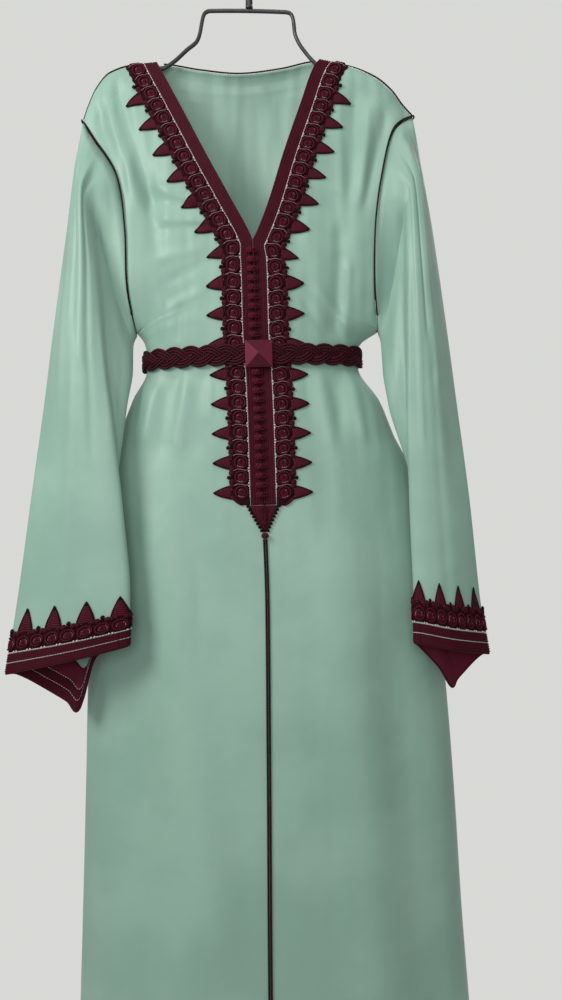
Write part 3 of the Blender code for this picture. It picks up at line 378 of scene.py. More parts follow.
# Soft creases in the fronts: both ends, half-width and height, hollows negative. The first
# fifteen are the large folds of the frame's own panels, the rest are the finer drag lines.
FRONT_CREASES = table(("x1", "drop1", "x2", "drop2", "width", "height"), [
    (-0.213, 0.235, -0.183, 0.370, 0.011, -0.0060),
    (-0.186, 0.205, -0.138, 0.370, 0.013, -0.0065),
    (-0.198, 0.225, -0.160, 0.360, 0.011, 0.0040),
    (-0.138, 0.370, -0.118, 0.500, 0.016, -0.0040),
    (0.143, 0.235, 0.137, 0.350, 0.014, -0.0055),
    (0.192, 0.245, 0.156, 0.370, 0.012, -0.0060),
    (0.165, 0.250, 0.147, 0.370, 0.011, 0.0040),
    (0.118, 0.430, 0.108, 0.555, 0.013, -0.0050),
    (0.106, 0.615, 0.112, 0.670, 0.014, -0.0050),
    (-0.115, 0.615, -0.130, 0.700, 0.016, -0.0050),
    (-0.075, 0.615, -0.082, 0.700, 0.014, -0.0030),
    (-0.130, 0.860, -0.070, 1.320, 0.042, 0.0100),
    (-0.185, 1.000, -0.150, 1.500, 0.040, -0.0070),
    (0.110, 0.880, 0.150, 1.400, 0.045, 0.0090),
    (0.175, 1.020, 0.215, 1.500, 0.040, -0.0070),
    (-0.128, 0.352, -0.084, 0.372, 0.007, 0.0022),
    (-0.122, 0.372, -0.076, 0.384, 0.006, -0.0024),
    (-0.118, 0.396, -0.066, 0.402, 0.007, 0.0026),
    (-0.124, 0.412, -0.068, 0.410, 0.005, -0.0020),
    (-0.120, 0.448, -0.074, 0.440, 0.008, 0.0018),
    (-0.108, 0.478, -0.072, 0.462, 0.007, -0.0016),
    (-0.112, 0.515, -0.076, 0.500, 0.009, 0.0016),
    (0.076, 0.352, 0.112, 0.366, 0.008, 0.0016),
    (0.078, 0.385, 0.118, 0.392, 0.008, -0.0018),
    (0.074, 0.430, 0.108, 0.444, 0.009, 0.0016),
    (0.090, 0.500, 0.124, 0.548, 0.007, 0.0022),
    (0.128, 0.470, 0.122, 0.556, 0.006, 0.0024),
    (0.070, 0.520, 0.092, 0.556, 0.006, -0.0015),
    (-0.100, 0.520, -0.104, 0.556, 0.006, -0.0020),
    (-0.128, 0.510, -0.128, 0.556, 0.007, 0.0022),
    (0.084, 0.612, 0.098, 0.700, 0.008, 0.0028),
    (0.128, 0.612, 0.142, 0.690, 0.008, 0.0026),
    (0.066, 0.612, 0.070, 0.660, 0.007, -0.0016),
    (-0.062, 0.612, -0.064, 0.665, 0.006, 0.0018),
    (-0.096, 0.612, -0.104, 0.700, 0.008, 0.0030),
    (-0.137, 0.612, -0.152, 0.690, 0.009, 0.0026),
    (-0.090, 0.700, -0.072, 0.900, 0.022, -0.0022),
    (0.090, 0.740, 0.110, 0.930, 0.024, -0.0024)])


def creases(source, first, second):
    """Height of the creases at places given by two coordinates."""
    total = np.zeros(np.broadcast(first, second).shape)
    for row in zip(*source.values()):
        x1, d1, x2, d2, width, height = row
        length = math.hypot(x2 - x1, d2 - d1)
        run = ((x2 - x1) / length, (d2 - d1) / length)
        along = (first - x1) * run[0] + (second - d1) * run[1]
        beside = (first - x1) * run[1] - (second - d1) * run[0]
        past = np.maximum(0.0, np.maximum(-along, along - length))
        total += height * bell(beside, width) * bell(past, 2.0 * width)
    return total


def body_column(name, rows):
    """A named column of the body's table at rows."""
    return smooth(BODY["row"], BODY[name], rows)


def body_edge(side, rows, back):
    """Outer edge of the body at rows: the armhole, then the side seam."""
    place_on = body_column("armhole", rows)
    armhole = around(ARMHOLE_POINTS[side], 10.0 - place_on if back else place_on)
    drop = np.maximum(body_column("side", rows), SIDE_SEAM[side]["drop"][0])
    across = smooth(SIDE_SEAM[side]["drop"], SIDE_SEAM[side]["across"], drop)
    seam = np.stack((-across if side == "left" else across, np.zeros_like(drop), -drop), -1)
    edge = np.where((rows <= 13.0)[..., None], armhole, seam)
    limit = SEAM_GAP / 2
    edge[..., 1] = np.maximum(edge[..., 1], limit) if back else np.minimum(edge[..., 1], -limit)
    return edge


def front_inner(side, rows):
    """Inner edge of a front at rows: the neck edge, then the middle line."""
    drop = body_column("drop", rows)
    neck_drop = np.maximum(drop, NECK[side]["drop"][0])
    above = drop < NECK_POINT_DROP
    x = np.where(above, smooth(NECK[side]["drop"], NECK[side]["x"], neck_drop),
                 smooth(MIDDLE["drop"], MIDDLE["x"], drop))
    drop = np.where(above, neck_drop, drop)
    x = x + (-1.0 if side == "left" else 1.0) * SEAM_GAP / 2
    return np.stack((x, body_column("front", rows), -drop), -1)


def front_points(side, rows, shares):
    """Points of a front, with rows down and shares from the inner to the outer edge."""
    rows = rows[:, None]
    inner = front_inner(side, rows)
    outer = body_edge(side, rows, False)
    top_inner = front_inner(side, np.zeros(1))
    top_outer = body_edge(side, np.zeros(1), False)
    line = inner + (outer - inner) * shares[..., None]
    x, drop = line[..., 0], -line[..., 2]
    top = top_inner + (top_outer - top_inner) * shares[..., None]
    ridge = smooth(SHOULDER[side]["across"], SHOULDER[side]["drop"], np.abs(top[..., 0]))
    drop = drop - (-top[..., 2] - ridge) * body_column("bend", rows)
    flat = 1.0 - shares ** np.where(rows <= 3.0, 8.0, 2.0)
    oval = np.sqrt(np.maximum(0.0, 1.0 - shares ** 2))
    profile = flat + (oval - flat) * body_column("round", rows)
    y = outer[..., 1] + (inner[..., 1] - outer[..., 1]) * profile
    calm = np.clip((rows - 2.0) / 2.0, 0.0, 1.0) * np.minimum(1.0, (1.0 - shares) / 0.14)
    waist = np.clip((np.abs(drop - BELT_DROP) - 0.020) / 0.025, 0.0, 1.0)
    y = y - creases(FRONT_CREASES, x, drop) * calm * waist
    return np.stack((x, y, -drop), -1)


def front_grid(side, rows):
    """Fine points of a front: columns at set widths under the trim, then even to the side."""
    tries = np.linspace(0.0, 0.9, 240)[None, :].repeat(len(rows), 0)
    span = front_points(side, rows, tries) - front_inner(side, rows)[:, None, :]
    near = np.clip(rows, 3.5, 29.5)
    ahead = front_inner(side, near + 0.5) - front_inner(side, near - 0.5)
    length = np.hypot(ahead[:, 0], ahead[:, 2])
    away = np.abs(span[..., 0] * ahead[:, 2:3] - span[..., 2] * ahead[:, 0:1]) / length[:, None]
    shares = np.array([np.interp(NEAR_WIDTHS, line, tries[0]) for line in away])
    first = np.arcsin(shares[:, -1:])
    steps = np.arange(1, FAR_COLUMNS + 1) / FAR_COLUMNS
    shares = np.concatenate((shares, np.sin(first + (math.pi / 2 - first) * steps)), 1)
    return front_points(side, rows, shares)


def back_points(rows, shares):
    """Points of the back, with rows down and shares from the left to the right edge."""
    rows = rows[:, None]
    left, right = body_edge("left", rows, True), body_edge("right", rows, True)
    top_left, top_right = (body_edge(side, np.zeros(1), True) for side in ("left", "right"))
    share = (0.5 - 0.5 * np.cos(math.pi * shares))[None, :]
    line = left + (right - left) * share[..., None]
    top = top_left + (top_right - top_left) * share[..., None]
    top_x = top[..., 0]
    keep = np.where(rows > 2.0, np.maximum(0.0, 1.0 - rows / 13.0) ** 0.8, 1.0 - 0.04 * rows)
    ends = BACK_NECK["x"][0], BACK_NECK["x"][-1]
    across = np.clip((top_x - ends[0]) / (ends[1] - ends[0]), 0.0, 1.0)
    ridge = np.where(top_x <= ends[0],
                     smooth(SHOULDER["left"]["across"], SHOULDER["left"]["drop"], -top_x),
                     smooth(SHOULDER["right"]["across"], SHOULDER["right"]["drop"], top_x))
    neck = smooth(BACK_NECK["x"], BACK_NECK["drop"], top_x)
    ridge = np.where((top_x > ends[0]) & (top_x < ends[1]), neck, ridge)
    bulge = 0.012 * np.sin(math.pi * across) ** 0.4 * keep
    drop = -line[..., 2] - (-top[..., 2] - ridge) * keep
    edge = line[..., 1]
    centred = 2.0 * share - 1.0
    flat = 1.0 - np.abs(centred) ** np.where(rows <= 3.0, 8.0, 2.0)
    oval = np.sqrt(np.maximum(0.0, 1.0 - centred ** 2))
    profile = flat + (oval - flat) * body_column("round", rows)
    y = edge + (body_column("back", rows) - edge) * profile + bulge
    wave = 0.006 * np.sin(5.5 * math.pi * shares + 0.6)[None, :] * (1.0 - np.abs(centred) ** 3)
    y = y + wave * np.clip((drop - 0.62) / 0.35, 0.0, 1.0)
    y = y + (0.004 * np.sin(9.0 * math.pi * shares)[None, :] * bell(drop - 0.335, 0.09)
             * (1.0 - centred ** 4))
    return np.stack((line[..., 0], y, -drop), -1)


def unit(vectors):
    """Vectors made one long."""
    return vectors / np.maximum(np.linalg.norm(vectors, axis=-1, keepdims=True), 1e-12)


class Panel:
    """A cut piece of cloth laid out in rows and columns, with the way each point faces."""

    def __init__(self, points, towards, closed=False):
        self.points = points
        self.closed = closed
        ring = np.concatenate((points[:, -1:], points, points[:, :1]), 1) if closed else points
        across = np.gradient(ring, axis=1)
        across = across[:, 1:-1] if closed else across
        down = np.gradient(points, axis=0)
        facing = unit(np.cross(across, down))
        row, col = points.shape[0] // 2, points.shape[1] // 3
        if facing[row, col] @ towards(points[row, col]) < 0.0:
            facing = -facing
        self.facing = facing

    def at(self, row, col, out=0.0):
        """Points at rows and columns, moved out along the cloth's facing."""
        point, facing = self.read(row, col)
        return point + facing * np.asarray(out)[..., None]

    def read(self, row, col):
        """Point and facing at rows and columns, between the cloth's own points."""
        rows, columns = self.points.shape[:2]
        row = np.clip(row, 0.0, rows - 1.001)
        col = np.mod(col, columns) if self.closed else np.clip(col, 0.0, columns - 1.001)
        r, c = np.floor(row).astype(int), np.floor(col).astype(int)
        fr, fc = (row - r)[..., None], (col - c)[..., None]
        n = (c + 1) % columns
        both = []
        for grid in (self.points, self.facing):
            both.append((grid[r, c] * (1 - fc) + grid[r, n] * fc) * (1 - fr)
                        + (grid[r + 1, c] * (1 - fc) + grid[r + 1, n] * fc) * fr)
        return both[0], unit(both[1])

    def area(self):
        """Flat area of the cloth in square metres."""
        p = self.points if not self.closed else np.concatenate((self.points, self.points[:, :1]), 1)
        across, down = p[:-1, 1:] - p[:-1, :-1], p[1:, :-1] - p[:-1, :-1]
        return float(np.linalg.norm(np.cross(across, down), axis=-1).sum())

    def lengths(self):
        """How far each point lies along its row and down its column, in metres."""
        p = self.points
        across = np.concatenate((np.zeros((len(p), 1)),
                                 np.linalg.norm(np.diff(p, axis=1), axis=-1).cumsum(1)), 1)
        down = np.concatenate((np.zeros((1, p.shape[1])),
                               np.linalg.norm(np.diff(p, axis=0), axis=-1).cumsum(0)), 0)
        return across, down


def build(name, points, faces, uvs, material, slot):
    """A finished mesh piece with its UV map and material, riding on the frame. Its slot is not used."""
    mesh = bpy.data.meshes.new(name)
    mesh.from_pydata(points.tolist(), [], faces.tolist() if hasattr(faces, "tolist") else faces)
    mesh.update()
    layer = mesh.uv_layers.new(name="threads")
    if uvs is not None:
        layer.data.foreach_set("uv", np.asarray(uvs, np.float32).ravel())
    mesh.polygons.foreach_set("use_smooth", [True] * len(mesh.polygons))
    mesh.materials.append(material)
    thing = bpy.data.objects.new(name, mesh)
    scene.collection.objects.link(thing)
    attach(thing, "root")
    return thing


def wall(outer, inner, closed, uv_grid):
    """Points, quads and UVs of a closed wall between two grids of points."""
    rows, columns = outer.shape[:2]
    points = np.concatenate((outer.reshape(-1, 3), inner.reshape(-1, 3)))
    last = columns if closed else columns - 1
    r, c = np.meshgrid(np.arange(rows - 1), np.arange(last), indexing="ij")
    r, c = r.ravel(), c.ravel()
    n = (c + 1) % columns
    back = rows * columns
    quad = np.stack((r * columns + c, (r + 1) * columns + c, (r + 1) * columns + n, r * columns + n), -1)
    corner = np.stack((np.stack((r, c), -1), np.stack((r + 1, c), -1),
                       np.stack((r + 1, c + 1), -1), np.stack((r, c + 1), -1)), 1)
    faces = [quad, quad[:, ::-1] + back]
    corners = [corner, corner[:, ::-1]]
    c = np.arange(last)
    n = (c + 1) % columns
    for row, turn in ((0, 1), (rows - 1, -1)):
        edge = np.stack((row * columns + c, row * columns + n, back + row * columns + n,
                         back + row * columns + c), -1)
        spot = np.full_like(c, row)
        spots = np.stack((np.stack((spot, c), -1), np.stack((spot, c + 1), -1),
                          np.stack((spot, c + 1), -1), np.stack((spot, c), -1)), 1)
        faces.append(edge[:, ::turn])
        corners.append(spots[:, ::turn])
    if not closed:
        r = np.arange(rows - 1)
        for col, turn in ((0, -1), (columns - 1, 1)):
            spot = np.full_like(r, col)
            edge = np.stack((r * columns + col, (r + 1) * columns + col,
                             back + (r + 1) * columns + col, back + r * columns + col), -1)
            spots = np.stack((np.stack((r, spot), -1), np.stack((r + 1, spot), -1),
                              np.stack((r + 1, spot), -1), np.stack((r, spot), -1)), 1)
            faces.append(edge[:, ::turn])
            corners.append(spots[:, ::turn])
    faces, corners = np.concatenate(faces), np.concatenate(corners)
    if closed:
        uv_grid = np.concatenate((uv_grid, uv_grid[:, :1]), 1)
        uv_grid[:, -1, 0] = uv_grid[:, -2, 0] * 2 - uv_grid[:, -3, 0]
    uvs = uv_grid[corners[..., 0], corners[..., 1]]
    first, second, third = (points[faces[0][corner]] for corner in range(3))
    if np.cross(second - first, third - first) @ (outer[0, 0] - inner[0, 0]) < 0.0:
        faces, uvs = faces[:, ::-1], uvs[:, ::-1]
    return points, faces, uvs


def cloth_shell(name, panel, material, slot, face=WALL / 2):
    """A thin cloth shell whose outer face lies where the frame's wall has its own."""
    across, down = panel.lengths()
    uv_grid = np.stack((across, down), -1)
    outer = panel.points + panel.facing * face
    inner = panel.points + panel.facing * (face - SHELL)
    return build(name, *wall(outer, inner, panel.closed, uv_grid), material, slot)


crepe_dye = Dye("mint_satin_crepe", roughness=0.42, sheen_weight=0.25, sheen_roughness=0.4,
                specular_ior_level=0.42, anisotropic=0.35)
crepe_across, crepe_along = crepe_dye.threads()
crepe_grain = crepe_dye.noise(1500.0, 2.0, 0.6)
crepe_cloud = crepe_dye.noise(7.0, 3.0, 0.5)
crepe_twill = ((crepe_across + crepe_along * 0.6) * CREPE_TWILL).wave()
crepe_soft = crepe_dye.noise(26.0, 2.0, 0.45)
crepe_colour = crepe_dye.blend(crepe_cloud.over(0.35, 0.65), CREPE_DEEP, CREPE_LIT)
crepe_colour = crepe_dye.blend(crepe_grain.over(0.42, 0.70) * 0.10, crepe_colour, CREPE_FIBRE)

# Slight creases run down the upper part of the cloth, and fade out below the hips.
crepe_spot = crepe_dye.node("TexCoord", output=3)
crepe_fall = crepe_dye.node("VectorMath", {"operation": "MULTIPLY"},
                            {0: crepe_spot, 1: (1.0, 1.0, 0.09)})
crepe_height = crepe_dye.node("SeparateXYZ", {}, {0: crepe_spot}, 2)
crepe_creases = crepe_dye.noise(32.0, 1.0, 0.4, crepe_fall) * (crepe_height.over(-0.95, -0.35) + 0.15)
crepe_bump = crepe_dye.relief(crepe_soft, 0.0016, 0.55)
crepe_bump = crepe_dye.relief(crepe_creases, 0.0120, 0.7, crepe_bump)
crepe_bump = crepe_dye.relief(crepe_grain + crepe_twill * 0.25, 0.00010, 0.6, crepe_bump)
CREPE = crepe_dye.finish(base_color=crepe_colour, normal=crepe_bump,
                         roughness=0.36 + crepe_cloud * 0.14)

row_steps = []
for row in range(30):
    fall = BODY["drop"][row + 1] - BODY["drop"][row]
    parts = max(2, int(math.ceil(fall / (FINE_STEP if row < 21 else SKIRT_STEP))))
    row_steps.extend(row + step / parts for step in range(parts))
BODY_ROWS = np.array(row_steps + [30.0])

BODY_PANELS = {}
for side in ("left", "right"):
    front = Panel(front_grid(side, BODY_ROWS), lambda point: np.array([0.0, -1.0, 0.0]))
    BODY_PANELS[side] = front
    sign = -1.0 if side == "left" else 1.0
    front.facing[0] = unit(np.stack((front.facing[0, :, 0] * 0.0, front.facing[0, :, 1] * 0.25,
                                     np.ones(len(front.facing[0]))), -1))
    lower = BODY_ROWS > 11.0
    front.facing[lower, 0] = (0.0, -1.0, 0.0)
    front.facing[BODY_ROWS >= 13.0, -1] = (sign, 0.0, 0.0)
    piece = cloth_shell("kaftan_front_" + side, front, CREPE, "cloth")
    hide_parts("front_" + side)
    front.area()

BACK_SHARES = np.linspace(0.0, 1.0, 110)
back = Panel(back_points(BODY_ROWS, BACK_SHARES), lambda point: np.array([0.0, 1.0, 0.0]))
BODY_PANELS["back"] = back
lower = BODY_ROWS >= 13.0
back.facing[lower, 0] = (-1.0, 0.0, 0.0)
back.facing[lower, -1] = (1.0, 0.0, 0.0)
piece = cloth_shell("kaftan_back", back, CREPE, "cloth")
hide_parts("back")
back.area()


# Sleeves: each is one wide piece of the same crepe, closed under the arm and set in at the
# armhole. It hangs flat beside the body with its front layer folded back, and the cuff is slanted.
SLEEVE = {
    "left": table(("out_x", "out_drop", "out_y", "fold_x", "fold_drop", "fold_y",
                   "under_x", "under_drop", "under_y", "back_y", "tuck"), [
        (0.2462, 0.3170, -0.010, 0.2220, 0.3850, -0.046, 0.1710, 0.5640, -0.012, 0.024, 0.0),
        (0.2575, 0.4100, -0.018, 0.2120, 0.4800, -0.058, 0.1700, 0.6020, -0.026, 0.012, 0.0),
        (0.2749, 0.5439, -0.028, 0.2040, 0.5800, -0.068, 0.1760, 0.6500, -0.042, -0.006, 0.0),
        (0.2857, 0.6384, -0.035, 0.1935, 0.6650, -0.076, 0.1860, 0.7200, -0.048, -0.024, 0.0),
        (0.3012, 0.7741, -0.053, 0.1800, 0.7860, -0.086, 0.2050, 0.8250, -0.052, -0.036, 0.0),
        (0.3184, 0.9067, -0.063, 0.1707, 0.8900, -0.096, 0.2250, 0.9500, -0.057, -0.046, 0.015),
        (0.3325, 1.0012, -0.072, 0.1714, 0.9642, -0.102, 0.2443, 1.0533, -0.062, -0.052, 0.039)]),
    "right": table(("out_x", "out_drop", "out_y", "fold_x", "fold_drop", "fold_y",
                    "under_x", "under_drop", "under_y", "back_y", "tuck"), [
        (0.2335, 0.3201, -0.010, 0.2096, 0.3850, -0.044, 0.1740, 0.5680, -0.012, 0.024, 0.0),
        (0.2457, 0.4137, -0.018, 0.2080, 0.4800, -0.054, 0.1740, 0.6060, -0.026, 0.012, 0.0),
        (0.2600, 0.5510, -0.028, 0.2054, 0.5850, -0.062, 0.1790, 0.6550, -0.040, -0.006, 0.0),
        (0.2690, 0.6500, -0.035, 0.2020, 0.6750, -0.070, 0.2000, 0.7300, -0.046, -0.026, 0.0),
        (0.2798, 0.7862, -0.053, 0.2009, 0.7950, -0.078, 0.2280, 0.8320, -0.050, -0.038, 0.0),
        (0.2895, 0.9224, -0.062, 0.2020, 0.9050, -0.088, 0.2420, 0.9500, -0.054, -0.046, 0.0),
        (0.2980, 0.9892, -0.066, 0.2010, 0.9690, -0.094, 0.2530, 1.0350, -0.054, -0.046, 0.006)]),
}

# Creases of the sleeves: both ends as places around and down, half-width and height. Places
# around count in tenths of a turn, and places down in the rows of the table above.
SLEEVE_CREASES = {
    "left": table(("u1", "v1", "u2", "v2", "width", "height"), [
        (0.75, 0.10, 0.95, 2.60, 0.10, -0.0030),
        (1.30, 0.20, 1.25, 3.20, 0.12, 0.0026),
        (0.45, 0.40, 0.55, 3.80, 0.09, 0.0016),
        (1.60, 0.60, 1.45, 4.40, 0.10, -0.0020),
        (1.00, 3.20, 0.90, 6.00, 0.16, 0.0018),
        (7.20, 0.60, 7.40, 4.60, 0.20, 0.0030),
        (6.70, 1.20, 6.60, 5.40, 0.16, -0.0026),
        (8.20, 0.40, 8.10, 3.40, 0.18, -0.0026)]),
    "right": table(("u1", "v1", "u2", "v2", "width", "height"), [
        (0.80, 0.10, 0.85, 3.60, 0.11, 0.0026),
        (1.20, 0.15, 1.15, 2.80, 0.10, -0.0032),
        (0.42, 0.30, 0.50, 2.60, 0.08, -0.0018),
        (1.55, 0.60, 1.50, 4.20, 0.10, 0.0022),
        (1.00, 3.60, 1.05, 6.10, 0.16, -0.0016),
        (7.30, 0.60, 7.20, 4.60, 0.20, 0.0030),
        (6.70, 1.20, 6.70, 5.40, 0.16, -0.0026),
        (8.10, 0.40, 8.20, 3.40, 0.18, -0.0026)]),
}


def sleeve_guides(side):
    """Guide points around the armhole and around each hanging section below it."""
    sign = -1.0 if side == "left" else 1.0
    sections = [ARMHOLE_POINTS[side]]
    for number in range(7):
        value = {name: numbers[number] for name, numbers in SLEEVE[side].items()}
        out, fold, under = (
            np.array([sign * value[spot + "_x"], value[spot + "_y"], -value[spot + "_drop"]])
            for spot in ("out", "fold", "under"))
        back_y = value["back_y"]
        lift = np.array([0.0, 0.0, value["tuck"]])

        def between(start, end, share, y):
            point = start + (end - start) * share
            point[1] = y
            return point

        sections.append(np.array([
            out,
            between(out, fold, 0.48, fold[1] * 0.97),
            between(fold, out, 0.02, fold[1] + 0.003),
            between(fold, under, 0.17, fold[1] + 0.6 * (under[1] - fold[1])) + lift * 0.35,
            between(fold, under, 0.66, under[1] - 0.008) + lift,
            under,
            between(under, out, 0.20, back_y * 0.75 + under[1] * 0.25),
            between(under, out, 0.48, back_y),
            between(under, out, 0.78, back_y),
            between(under, out, 0.95, (2 * back_y + out[1]) / 3)]))
    return np.array(sections)


def sleeve_points(side, v, u):
    """Points of a sleeve, v down from the armhole to the cuff and u around."""
    guides = sleeve_guides(side)
    v, u = np.broadcast_arrays(v, u)
    numbers = np.arange(8)
    base = np.floor(u).astype(int)
    t = (u - base)[..., None]
    tracks = np.stack([np.stack([smooth(numbers, guides[:, index, axis], v) for axis in range(3)], -1)
                       for index in range(10)], 0)
    rows, columns = np.indices(v.shape)
    p0, p1, p2, p3 = (tracks[(base + step) % 10, rows, columns] for step in (-1, 0, 1, 2))
    return 0.5 * (2 * p1 + (p2 - p0) * t + (2 * p0 - 5 * p1 + 4 * p2 - p3) * t ** 2
                  + (3 * p1 - p0 - 3 * p2 + p3) * t ** 3)


SLEEVE_COLUMNS = 120
SLEEVE_ROWS = np.concatenate(([0.0], np.linspace(0.22, 5.8, 92), np.linspace(5.86, 7.0, 36)))
SLEEVE_TURNS = np.arange(SLEEVE_COLUMNS) * 10.0 / SLEEVE_COLUMNS
sleeve_start = (0.02 + 0.20 * bell(SLEEVE_TURNS - 5.0, 1.3)
                + 0.03 * (bell(SLEEVE_TURNS - 0.8, 0.7) + bell(SLEEVE_TURNS - 9.2, 0.7)))
SLEEVE_PANELS = {}
for side in ("left", "right"):
    v_grid = np.repeat(SLEEVE_ROWS[:, None], SLEEVE_COLUMNS, 1)
    v_grid = sleeve_start[None, :] + (7.0 - sleeve_start[None, :]) * v_grid / 7.0
    v_grid = np.where(SLEEVE_ROWS[:, None] > 5.5, SLEEVE_ROWS[:, None], v_grid)
    u_grid = np.repeat(SLEEVE_TURNS[None, :], len(SLEEVE_ROWS), 0)
    hung = sleeve_points(side, v_grid, u_grid)
    middle = hung.mean(1)
    sleeve = Panel(hung, lambda point: point - middle[len(middle) // 2], True)
    calm = np.clip((v_grid - 0.15) / 0.5, 0.0, 1.0) * np.clip((6.3 - v_grid) / 0.5, 0.0, 1.0)
    lift = creases(SLEEVE_CREASES[side], u_grid, v_grid) * calm
    sleeve = Panel(hung + sleeve.facing * lift[..., None],
                   lambda point: point - middle[len(middle) // 2], True)
    SLEEVE_PANELS[side] = sleeve
    piece = cloth_shell("kaftan_sleeve_" + side, sleeve, CREPE, "cloth")
    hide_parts("sleeve_" + side)
    "front_" + side
    sleeve.area()


# Neck braid: a flat finger-worked braid (sfifa) of burgundy silk thread, 17 mm wide with five
# ribs along it, sewn over each neck edge and down both sides of the placket. As every trim is,
# it is worked flat (along, across from the edge, height) and then bent onto its cloth.
TRIM_LIFT = 0.0005
BRAID_RIBS = 5
BRAID_DEPTH = 0.0013
BRAID_SEAM = 0.0070
BRAID_STITCH = 0.0021
BRAID_TOP_ROW = 0.9
PLACKET_ROW = 21.0


class Form:
    """A shape as points, faces as runs of corners, and each corner's place on the thread map."""

    def __init__(self, points, sizes, corners, uvs):
        self.points = np.asarray(points, float).reshape(-1, 3)
        self.sizes = np.asarray(sizes, int)
        self.corners = np.asarray(corners, int)
        self.uvs = np.asarray(uvs, float).reshape(-1, 2)

    def moved(self, place):
        """The same faces on points that place gives."""
        return Form(place(self.points), self.sizes, self.corners, self.uvs)

    def turned_over(self):
        """The same shape with every face the other way round."""
        ends = self.sizes.cumsum()
        order = np.concatenate([np.arange(end - 1, end - size - 1, -1)
                                for end, size in zip(ends, self.sizes)])
        return Form(self.points, self.sizes, self.corners[order], self.uvs[order])


def joined(forms):
    """Several forms as one."""
    starts = np.cumsum([0] + [len(form.points) for form in forms])
    return Form(np.concatenate([form.points for form in forms]),
                np.concatenate([form.sizes for form in forms]),
                np.concatenate([form.corners + start for form, start in zip(forms, starts)]),
                np.concatenate([form.uvs for form in forms]))


def volume(form):
    """Signed volume of a closed form, which is negative where its faces point inwards."""
    starts = form.sizes.cumsum() - form.sizes
    total = 0.0
    for size in np.unique(form.sizes):
        first = starts[form.sizes == size]
        for step in range(1, size - 1):
            a, b, c = (form.points[form.corners[first + turn]] for turn in (0, step, step + 1))
            total += np.einsum("ij,ij->i", a, np.cross(b, c)).sum()
    return total


def quads(grid, uv_grid, closed_rows=False, closed_columns=False):
    """A form of quads on a grid of points, with uv one row and column longer where it closes."""
    rows, columns = grid.shape[:2]
    r, c = np.meshgrid(np.arange(rows if closed_rows else rows - 1),
                       np.arange(columns if closed_columns else columns - 1), indexing="ij")
    r, c = r.ravel(), c.ravel()
    down, right = (r + 1) % rows, (c + 1) % columns
    corners = np.stack((r * columns + c, down * columns + c, down * columns + right,
                        r * columns + right), -1)
    uvs = np.stack((uv_grid[r, c], uv_grid[r + 1, c], uv_grid[r + 1, c + 1], uv_grid[r, c + 1]), 1)
    return Form(grid, np.full(len(r), 4), corners.ravel(), uvs)


def capped(form, *rings):
    """A form closed over open rings of its corners by one face each."""
    sizes, corners, uvs = list(form.sizes), list(form.corners), list(form.uvs)
    for ring in rings:
        sizes.append(len(ring))
        corners.extend(ring)
        uvs.extend([(0.0, 0.0)] * len(ring))
    return Form(form.points, sizes, corners, uvs)


def outward(form):
    """The form with its faces pointing outwards."""
    return form if volume(form) > 0.0 else form.turned_over()


def build_form(name, form, material, slot, *nodes):
    """A finished piece made from a form, riding on the frame in place of the named nodes."""
    mesh = bpy.data.meshes.new(name)
    mesh.vertices.add(len(form.points))
    mesh.vertices.foreach_set("co", form.points.astype(np.float32).ravel())
    mesh.loops.add(len(form.corners))
    mesh.loops.foreach_set("vertex_index", form.corners.astype(np.int32))
    mesh.polygons.add(len(form.sizes))
    mesh.polygons.foreach_set("loop_start", (form.sizes.cumsum() - form.sizes).astype(np.int32))
    mesh.polygons.foreach_set("use_smooth", np.ones(len(form.sizes), bool))
    mesh.update(calc_edges=True)
    mesh.uv_layers.new(name="threads").data.foreach_set("uv", form.uvs.astype(np.float32).ravel())
    mesh.validate()
    mesh.materials.append(material)
    thing = bpy.data.objects.new(name, mesh)
    scene.collection.objects.link(thing)
    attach(thing, "root")
    if nodes:
        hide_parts(*nodes)
    return thing


def silk(name, lit, deep, across_turns, along_pitch, slant, roughness=0.5):
    """Silk or rayon thread laid side by side: fine strands, with painted light on their ridges and
    painted shade in the hollows between them, and a soft shine.
    """
    dye = Dye(name, roughness=roughness, sheen_weight=0.02, sheen_roughness=0.35,
              specular_ior_level=0.08)
    around_cord, along_cord = dye.threads()
    strands = ((around_cord * across_turns + along_cord * (slant / along_pitch))
               * (2.0 * math.pi)).wave() * 0.5 + 0.5
    fuzz = dye.noise(900.0, 2.0, 0.6)
    cloud = dye.noise(60.0, 2.0, 0.5)
    # Painted shade: the hollows between the strands take the shaded colour and the ridges the lit one.
    strand_gap_shade = 1.0 - (strands * 0.55 + fuzz * 0.45).over(0.35, 0.85)
    colour = dye.blend(strand_gap_shade, lit, deep)
    colour = dye.blend(cloud.over(0.55, 0.75) * 0.35, colour, deep)
    bump = dye.relief(strands + fuzz * 0.35, 0.00022, 0.9)
    return dye.finish(base_color=colour, normal=bump, roughness=roughness - 0.08 + fuzz * 0.18)


BRAID_SILK = silk("burgundy_braid_silk", (0.104, 0.0074, 0.0205, 1.0), (0.030, 0.0026, 0.0066, 1.0),
                  3.0, 0.0026, 1.0, 0.52)


